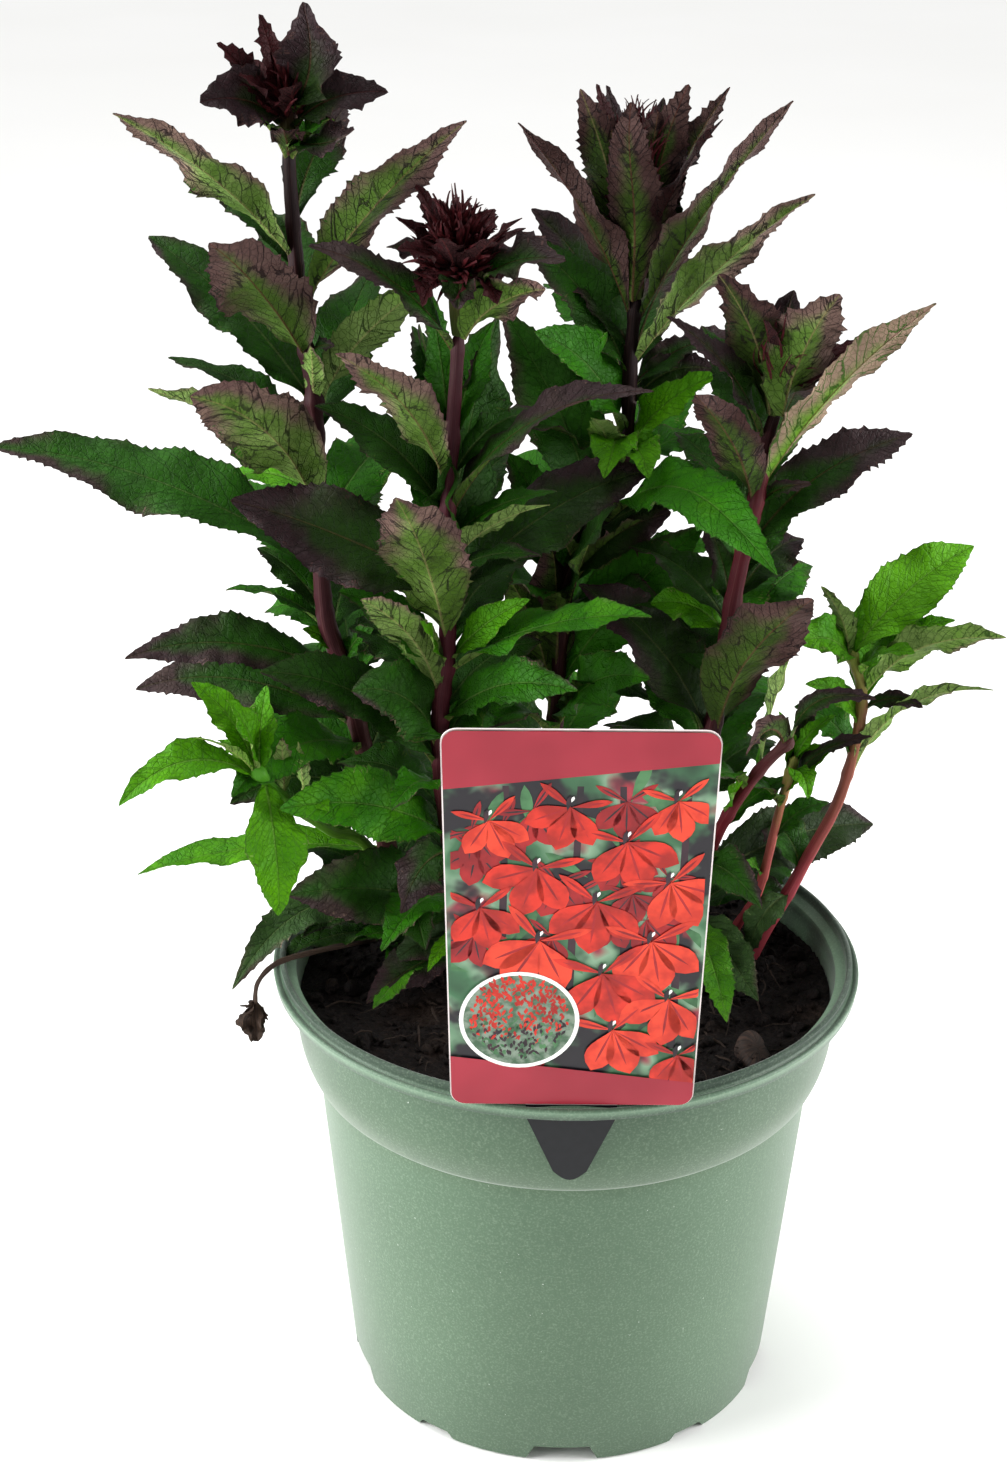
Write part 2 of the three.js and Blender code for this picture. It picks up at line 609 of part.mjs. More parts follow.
function cutPot(pot) {
  const cuts = [];
  for (let i = 0; i < NOTCH_COUNT; i += 1) {
    const angle = (i / NOTCH_COUNT) * 2 * Math.PI;
    cuts.push(notchSolid(angle, NOTCH_WIDTH, NOTCH_HEIGHT));
    cuts.push(notchSolid(angle + Math.PI / NOTCH_COUNT, SMALL_NOTCH_WIDTH, SMALL_NOTCH_HEIGHT));
    const drain = new THREE.CylinderGeometry(DRAIN_RADIUS, DRAIN_RADIUS, 2 * FLOOR_TOP, 6);
    drain.rotateX(Math.PI / 2);
    drain.translate(0, -DRAIN_CIRCLE, FLOOR_TOP);
    drain.rotateZ(angle);
    cuts.push(solidOf(drain));
  }
  const slot = new THREE.BoxGeometry(SLOT_WIDTH, SLOT_DEPTH, 4 * LIP_HEIGHT);
  slot.rotateX(LABEL_LEAN);
  slot.translate(0, LABEL_Y, POT_HEIGHT);
  cuts.push(solidOf(slot));
  return cuts.reduce((whole, cut) => whole.subtract(cut), pot);
}

// Compost: it fills the pot to below the lip, with an uneven top
function soilSolid(holes) {
  const inwards = WALL + SOIL_GAP;
  const [upperNeck, upperNeckZ] = NECK[NECK.length - 1];
  const share = (SOIL_TOP - upperNeckZ) / (POT_HEIGHT - LIP_HEIGHT - upperNeckZ);
  const topRadius = THREE.MathUtils.lerp(upperNeck, NECK_RADIUS, share) - inwards;
  const outline = [
    [0, BOSS_TOP + SOIL_GAP], [BOSS_RADIUS - BOSS_SLOPE - SOIL_GAP, BOSS_TOP + SOIL_GAP],
    [BOSS_RADIUS + BOSS_SLOPE - SOIL_GAP, FLOOR_TOP + SOIL_GAP], [BASE_RADIUS - inwards, FLOOR_TOP + SOIL_GAP],
    ...[[COLLAR_RADIUS, COLLAR_Z], ...NECK].map(([r, z]) => [r - inwards, z + SOIL_GAP]),
    [topRadius, SOIL_TOP], ...SOIL_RINGS.map((radius) => [radius, SOIL_TOP]),
  ].map(([r, z]) => new THREE.Vector2(r, z));
  const lathe = new THREE.LatheGeometry(outline, POT_SIDES);
  lathe.rotateX(Math.PI / 2);
  const place = lathe.getAttribute('position');
  for (let i = 0; i < place.count; i += 1) {
    const x = place.getX(i);
    const y = place.getY(i);
    if (place.getZ(i) < SOIL_TOP - 0.01 || Math.hypot(x, y) > SOIL_EDGE) continue;
    place.setZ(i, SOIL_TOP + soilSwell(x, y));
  }
  return holes.reduce((whole, hole) => whole.subtract(hole), solidOf(lathe));
}

function soilSwell(x, y) {
  return SOIL_SWELL * Math.sin(0.11 * x + 1) * Math.cos(0.13 * y - 0.6);
}

// A lump: a ball with its own size along each axis and a knobbly surface
function lumpGeometry({ centre, half }, swell = 0) {
  const ball = new THREE.IcosahedronGeometry(1, 1);
  const place = ball.getAttribute('position');
  for (let i = 0; i < place.count; i += 1) {
    const [x, y, z] = [place.getX(i), place.getY(i), place.getZ(i)];
    const knob = 1 + 0.12 * Math.sin(5 * x + 2 * z) * Math.cos(4 * y - x);
    place.setXYZ(i, x * (half[0] * knob + swell), y * (half[1] * knob + swell), z * (half[2] * knob + swell));
  }
  ball.translate(centre[0], centre[1], centre[2]);
  return ball;
}

// The label's outline, drawn with its foot at the origin: a card with round corners over a tapering tongue
function labelGeometry() {
  const foot = CARD_FOOT_WIDTH / 2;
  const top = CARD_TOP_WIDTH / 2;
  const r = CARD_CORNER;
  const tongue = TONGUE_WIDTH / 2;
  const tip = TONGUE_TIP_WIDTH / 2;
  const shape = new THREE.Shape();
  shape.moveTo(tongue, 0);
  shape.lineTo(foot - r, 0);
  shape.quadraticCurveTo(foot, 0, foot, r);
  shape.lineTo(top, CARD_HEIGHT - r);
  shape.quadraticCurveTo(top, CARD_HEIGHT, top - r, CARD_HEIGHT);
  shape.lineTo(r - top, CARD_HEIGHT);
  shape.quadraticCurveTo(-top, CARD_HEIGHT, -top, CARD_HEIGHT - r);
  shape.lineTo(-foot, r);
  shape.quadraticCurveTo(-foot, 0, r - foot, 0);
  shape.lineTo(-tongue, 0);
  shape.lineTo(-tongue, -LIP_HEIGHT - 1);
  shape.lineTo(-tip, -TONGUE_LENGTH + 2);
  shape.quadraticCurveTo(0, -TONGUE_LENGTH - 2, tip, -TONGUE_LENGTH + 2);
  shape.lineTo(tongue, -LIP_HEIGHT - 1);
  shape.closePath();
  const geometry = new THREE.ExtrudeGeometry(shape, { depth: SHEET, bevelEnabled: false, curveSegments: 4 });
  geometry.translate(0, 0, -SHEET / 2);
  geometry.rotateX(Math.PI / 2);
  return geometry;
}

// A pointed bud with four sides
function budGeometry(foot, tip) {
  const along = tip.clone().sub(foot).normalize();
  const across = new THREE.Vector3(1, 0, 0).addScaledVector(along, -along.x).normalize();
  const other = new THREE.Vector3().crossVectors(along, across);
  const ring = [across, other, across.clone().negate(), other.clone().negate()]
    .map((way) => foot.clone().addScaledVector(way, BUD_RADIUS));
  return skin([ring], tip);
}

// A bud head: a core on the stem's top, leafy bracts round it and pointed buds
function headSolid({ foot, core, bracts, buds }) {
  const [height, radius] = core;
  const centre = new THREE.SphereGeometry(1, 6, 4);
  centre.rotateX(Math.PI / 2);
  centre.scale(radius, radius, height / 2);
  centre.translate(foot[0], foot[1], foot[2] + height / 2);
  const parts = [solidOf(centre)];
  for (const row of bracts) {
    const [start, tip] = [vector(row), vector(row.slice(3))];
    parts.push(solidOf(bladeGeometry(start, tip, row[6], row[7], row[8], smallStations(start, tip))));
  }
  for (const row of buds) {
    parts.push(solidOf(budGeometry(vector(row), vector(row.slice(3)))));
  }
  return joined(parts);
}

const plant = new THREE.Group();
plant.name = 'potted_fan_scarlet_lobelia';

function addPiece(name, geometry, look) {
  const mesh = new THREE.Mesh(geometry, look);
  mesh.name = name;
  plant.add(mesh);
  return mesh;
}

addPiece('pot', geometryOf(potSolid()), material(0x7f9c82, 0.5));

const label = addPiece('plant_label', labelGeometry(), material(0xb2444f, 0.3));
label.position.set(0, LABEL_Y, POT_HEIGHT + LABEL_LIFT);
label.rotation.x = LABEL_LEAN;

const soilHoles = [];
for (const [stemName, stem] of Object.entries(STEMS)) {
  const curve = stemCurve(stem.path);
  const steps = stem.path.length - 1;
  const body = solidOf(stemGeometry(curve, stem.radius[0], stem.radius[1], steps));
  const grown = stem.small.map((row) => solidOf(leafGeometry(curve, stem, row, true)));
  addPiece(`stem_${stemName}`, geometryOf(joined([body, ...grown])), material(stem.colour));
  stem.large.forEach((row, index) => {
    const name = `leaf_${stemName}_${String(index + 1).padStart(2, '0')}`;
    addPiece(name, leafGeometry(curve, stem, row, false), material(COLOURS[row[7]]));
  });
  const wide = stem.radius[0] + HOLE_GAP;
  const rootFoot = vector(stem.path[0]).setZ(ROOT_Z - HOLE_GAP);
  const rootCurve = new THREE.LineCurve3(rootFoot, vector(stem.path[1]).setZ(SOIL_TOP + 2 * SOIL_SWELL));
  soilHoles.push(solidOf(stemGeometry(rootCurve, wide, wide, 1)));
}

for (const [headName, head] of Object.entries(HEADS)) {
  addPiece(`bud_head_${headName}`, geometryOf(headSolid(head)), material(0x3a1a20));
}

addPiece('root_stub', lumpGeometry(STUB), material(0x5a3a2a, 0.9));
soilHoles.push(solidOf(lumpGeometry(STUB, HOLE_GAP)));

const stalkCurve = stemCurve(DRY_STALK);
const stalk = solidOf(stemGeometry(stalkCurve, DRY_STALK_RADIUS, DRY_STALK_RADIUS, DRY_STALK.length - 1));
addPiece('dry_leaf', geometryOf(stalk.add(solidOf(lumpGeometry(DRY_BAG)))), material(0x7a5a3a, 0.9));

addPiece('soil', geometryOf(soilSolid(soilHoles)), material(0x15100f, 1));

export default plant;
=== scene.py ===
"""Potted fan scarlet lobelia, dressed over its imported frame.

Metres in the finished scene, with +Z up and the front facing -Y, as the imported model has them.
The tables and the shape functions work in millimetres, and a mesh is scaled as it is made.
"""
import json
import math
from types import SimpleNamespace

import bmesh
import bpy
import numpy as np
from mathutils import Matrix

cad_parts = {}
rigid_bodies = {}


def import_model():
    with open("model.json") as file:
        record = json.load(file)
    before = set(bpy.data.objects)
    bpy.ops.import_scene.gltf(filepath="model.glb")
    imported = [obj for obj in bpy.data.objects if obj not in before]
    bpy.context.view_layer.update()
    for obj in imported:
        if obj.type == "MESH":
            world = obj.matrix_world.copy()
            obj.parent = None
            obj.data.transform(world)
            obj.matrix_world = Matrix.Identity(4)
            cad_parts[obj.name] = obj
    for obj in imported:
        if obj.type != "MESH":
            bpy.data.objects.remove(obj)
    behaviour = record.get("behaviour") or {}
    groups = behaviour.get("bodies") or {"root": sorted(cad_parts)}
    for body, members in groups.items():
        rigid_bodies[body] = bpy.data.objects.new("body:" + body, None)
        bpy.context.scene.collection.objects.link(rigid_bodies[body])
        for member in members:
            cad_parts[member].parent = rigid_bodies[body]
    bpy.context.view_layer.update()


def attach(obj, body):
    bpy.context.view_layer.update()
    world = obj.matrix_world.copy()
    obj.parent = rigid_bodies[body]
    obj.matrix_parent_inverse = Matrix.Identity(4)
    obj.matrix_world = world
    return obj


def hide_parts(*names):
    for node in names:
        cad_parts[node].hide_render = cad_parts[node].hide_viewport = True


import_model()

MM = 0.001
SEED = 20417
FULL_TURN = 2 * math.pi
SQUARE = ((-1, -1), (1, -1), (1, 1), (-1, 1))

# How far apart two pieces may read the same noise, so that no two show the same pattern
PATTERN_REACH = 40

# Camera, fitted to the pot in the photograph, whose height and focal length are in pixels
PHOTO_HEIGHT = 1462
FOCAL_PIXELS = 2500
CAMERA_DISTANCE = 0.701
CAMERA_ELEVATION = math.radians(23.96)
CAMERA_ROLL = math.radians(0.468)
CAMERA_TARGET = (-0.0186, 0.0, 0.2039)
SENSOR = 36.0
NEAREST_SEEN = 0.01

# Studio: strengths of the lights, and where the two soft boxes stand, in metres
WORLD_LIGHT = 0.36
SUN_STRENGTH = 2.15
SUN_SPREAD = math.radians(50)
SUN_TILT = (math.radians(-12), math.radians(-14), 0)
BOX_SIZE = 1.0
KEY_PLACE = (-1.1, -0.2, 0.5)
KEY_POWER = 29
FILL_PLACE = (1.1, -0.05, 0.45)
FILL_POWER = 24
LIT_POINT = (0, 0, 0.16)
FLOOR_REACH = 6.0

# Pot
POT_HEIGHT = 136
LIP_RADIUS = 85
LIP_HEIGHT = 6
LIP_INSIDE = 81.3
LIP_ROUND = 0.8
NECK_RADIUS = 79.6
BASE_RADIUS = 63
FOOT_WIDTH = 5
COLLAR_Z = 100
COLLAR_RADIUS = 72.5
NECK = [(75.2, 103), (78, 112)]
BEAD_Z = 132.7
BEAD_RADIUS = 0.75
POT_WALL = 1.6
FLOOR_Z = 5.6
FLOOR_TOP = 8
BOSS_RADIUS = 18
BOSS_SLOPE = 1.5
BOSS_TOP = 2.2
AXIS_GAP = 0.01
NOTCH_COUNT = 5
NOTCH_SIZE = (22, 5.3)
SMALL_NOTCH_SIZE = (15, 2.6)
NOTCH_SLANT = 3
NOTCH_INSIDE = 12
NOTCH_OUTSIDE = 6
DRAIN_RADIUS = 4
DRAIN_CIRCLE = 42
POT_SIDES = 200
POT_SHARP = math.radians(38)

# Compost
SOIL_TOP = 124
SOIL_RADIUS = 77.2
SOIL_FLOOR = FLOOR_TOP + 0.6
SOIL_RINGS = 90
SOIL_SIDES = 300
HILL_COUNT = 90
HILL_REACH = 76
CRUMB_COUNT = 950
CRUMB_ROWS = 6
CRUMB_SIDES = 8
CRUMB_SINK = 0.35
CRUMB_SIZES = (0.5, 1.3)
CHIP_EVERY = 7
CHIP_SIZES = (1.4, 3.0)
FIBRE_COUNT = 170
FIBRE_ROWS = 9
FIBRE_LENGTHS = (3, 13)
FIBRE_RADII = (0.15, 0.4)
FIBRE_SIDES = 5
ROOT_Z = 108

# Plant label
CARD_FOOT_WIDTH = 63.5
CARD_TOP_WIDTH = 67.5
CARD_HEIGHT = 112
CARD_DROP = 2.9
PRINT_MARGIN = 0.35
PRINT_TOP = CARD_HEIGHT - 1.2
CARD_CORNER = 4
SHEET = 0.8
TONGUE_WIDTH = 24
TONGUE_TIP_WIDTH = 9
TONGUE_LENGTH = 29
TONGUE_ROUND = 3
LABEL_Y = -82.2
LABEL_Z = POT_HEIGHT + 0.5
LABEL_LEAN = math.radians(7.5)
SLOT_SIZE = (25.4, 1.8)
SLOT_REACH = 12
INK_GAP = 0.006

# The label's picture: a flower's lobes as angle, length and width, the flowers as x, y, size and turn, the
# stalks, green leaves and dim flowers behind them, the two crimson bands by their height and slope, and the
# round inset with its tufts
LOBES = ((-90, 1.0, 0.58), (-45, 0.95, 0.5), (-135, 0.95, 0.5), (30, 0.8, 0.16), (150, 0.8, 0.16))
FLOWERS = (
    (24, 92, 12, 10), (-2, 90, 13, -15), (-22, 86, 12, 20), (12, 80, 15, 12), (-10, 72, 15, -20),
    (23, 68, 15, 25), (5, 62, 16, -6), (-24, 60, 13, 10), (19, 50, 16, 8), (-9, 50, 17, -22),
    (7, 40, 17, 14), (24, 32, 15, -12), (10, 22, 15, 18), (27, 14, 12, 5),
)
STALKS_X = (-20, -3, 12, 24)
STALK_SPAN = (16, 96)
STALK_FOOT = 2.2
STALK_TIP = 1.6
GREEN_LAYERS = 7
GREENS_EACH = 5
DIM_FLOWERS = 16
LOW_BAND = (-9, 0.13)
HIGH_BAND = (99, 0.12)
INSET = (-14, 25)
INSET_RIM = 15.4
INSET_RADIUS = 14.3
INSET_SIDES = 48
TUFT_REACH = 12.8
TUFT_LAYERS = 12
TUFTS_EACH = 36
TUFT_WIDTH = 0.8

# Inks of the picture, in the order of its material slots: inner and outer colour and the scale of their
# shading. The garden has a material of its own.
INKS = {
    "crimson": ("#8c1c2c", "#9c2636", 0.03),
    "red": ("#96180f", "#cc2c1a", 0.16),
    "deep_red": ("#7c1016", "#a01c1e", 0.12),
    "leaf": ("#2c5434", "#4c7c50", 0.15),
    "dark": ("#1a161c", "#38202a", 0.2),
    "white": ("#ecebe8", "#f6f5f2", 0.1),
    "field": ("#7c8c7c", "#3c5a42", 0.35),
    "garden": None,
    "bright_red": ("#b82a18", "#dd4026", 0.16),
}
CRIMSON, RED, DEEP, LEAF, DARK, WHITE, FIELD, GARDEN, BRIGHT = range(len(INKS))

# How a leaf's colour runs: where along it the purple begins, how light its green is, how grey
TONES = {
    "bronze": (0.45, 0.5, 0.1),
    "dark": (1.0, 0.44, 0.08),
    "moss": (0.88, 0.64, 0.28),
    # shade is the dark green made near black: painted shade for a leaf lying low under the foliage
    "shade": (1.0, 0.24, 0.1),
    "black": (0.6, 0.3, 0.08),
    "deep": (1.0, 0.46, 0.05),
    "green": (1.15, 0.62, 0.0),
    "lush": (1.5, 0.7, 0.0),
    "young": (1.7, 0.88, 0.0),
    "bright": (1.8, 1.1, 0.0),
    "veined": (0.62, 0.66, 0.05),
    "pink": (0.48, 0.56, 0.05),
    "olive": (0.5, 0.36, 0.1),
    "grey": (0.5, 0.52, 0.2),
    "ash": (1.05, 0.75, 1.0),
    "pale": (1.2, 0.82, 0.2),
    "rose": (0.25, 0.95, 0.0),
    "maroon": (-0.3, 0.0, 0.0),
    "bract": (0.5, 0.27, 0.1),
    "dusky": (0.25, 0.3, 0.05),
}

# How deep the teeth of each look's margin are
TEETH = {
    "young": 0.42,
    "bright": 0.75,
    "green": 0.75,
    "pale": 0.7,
    "veined": 1.0,
    "pink": 1.0,
    "bronze": 0.95,
}
TOOTH_DEPTH = 0.8

# The record's material slots, each with the looks of the large leaves that are grouped under it
SLOT_LOOKS = {
    "leaf_bronze": ("bronze", "black", "pink", "rose", "olive", "dusky"),
    "leaf_dark": ("dark", "moss", "shade", "grey"),
    "leaf_green": ("green", "deep"),
    "leaf_pale": ("veined", "pale"),
    "leaf_young": ("young", "lush", "bright"),
}
LOOK_SLOTS = {look: slot for slot, looks in SLOT_LOOKS.items() for look in looks}

# Leaf blades: the foot's width as a share of the greatest, the thickness, the share of the length in which a
# blade turns, the spacing of its teeth and veins, and where the points across it and along a tooth lie
LEAF_NECK = 0.15
LEAF_THICKNESS = 0.4
TWIST_END = 0.3
LEAST_TEETH = 6
TOOTH_SPACING = 2.5
VEIN_SPACING = 2.2
VEINS_ALONG = 15
VEIN_SLANT = 0.85
WIDE_COLUMNS = np.array([-1, -0.93, -0.78, -0.55, -0.3, -0.1, 0, 0.1, 0.3, 0.55, 0.78, 0.93, 1])
NARROW_COLUMNS = np.array([-1, -0.88, -0.5, -0.12, 0, 0.12, 0.5, 0.88, 1])
TOOTH_RISE = np.array([0.0, 0.2, 0.5, 1.0])
SMOOTH_ANGLE = math.radians(75)

# How far a blade folds up, waves at its margins, curls back and swells between its veins, as shares of its
# half width
BLADE_FOLD = 0.27
BLADE_WAVE = 0.27
LARGEST_CURL = 0.14
QUILT_DEPTH = 0.035

# How far out from a stem's middle a large and a small leaf begin, as shares of its radius
LARGE_SUNK = 0.5
SMALL_SUNK = 0.4

# Stems: rings this far apart, points round them, and how much and how far each joint swells
STEM_STEP = 1.2
STEM_SIDES = 20
STEM_RIBS = 5
RIB_DEPTH = 0.05
STEM_TWIST = 0.004
CAP_HEIGHT = 0.4
JOINT_SWELL = 0.28
JOINT_REACH = 1.6

# Bud heads: their slots after the two of the leaves, the receptacle, the bracts' teeth, fold and wave, the
# rows and the thickness of a strip, and the turn from one strip to the next
BUD_SLOT = 2
CORE_SLOT = 3
CORE_ROWS = 12
CORE_SIDES = 14
CORE_RIBS = 7
CORE_SEED = 5.0
BRACT_TOOTH = 1.2
BRACT_FOLD = 0.42
BRACT_WAVE = 0.34
STRIP_ROWS = 9
STRIP_THICKNESS = 0.16
GOLDEN_ANGLE = math.pi * (3 - math.sqrt(5))

# Withered leaf and root stub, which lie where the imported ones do
DRY_STALK = [(-50.5, 19.5, 128), (-60, 4, 134), (-73, -15, 141), (-82, -23, 142), (-87, -27, 138),
             (-88, -28, 131)]
DRY_STALK_RADIUS = 0.9
DRY_STALK_ROWS = 60
DRY_STALK_SIDES = 10
DRY_BAG = ((-88.3, -28, 126), (3.0, 3.0, 6.5))
DRY_BLADES = 5
DRY_BLADE_WIDTH = 5.6
DRY_BLADE_TURN = 70
DRY_BLADE_TOOTH = 0.5
DRY_BLADE_FOLD = 0.9
DRY_BLADE_WAVE = 0.6
STUB = ((51, -44, 125), (6.5, 5, 5))
STUB_ROWS = 30
STUB_SIDES = 40
STUB_FIBRES = 26
STUB_FIBRE_LENGTHS = (1.5, 4.0)
STUB_FIBRE_RADIUS = 0.28

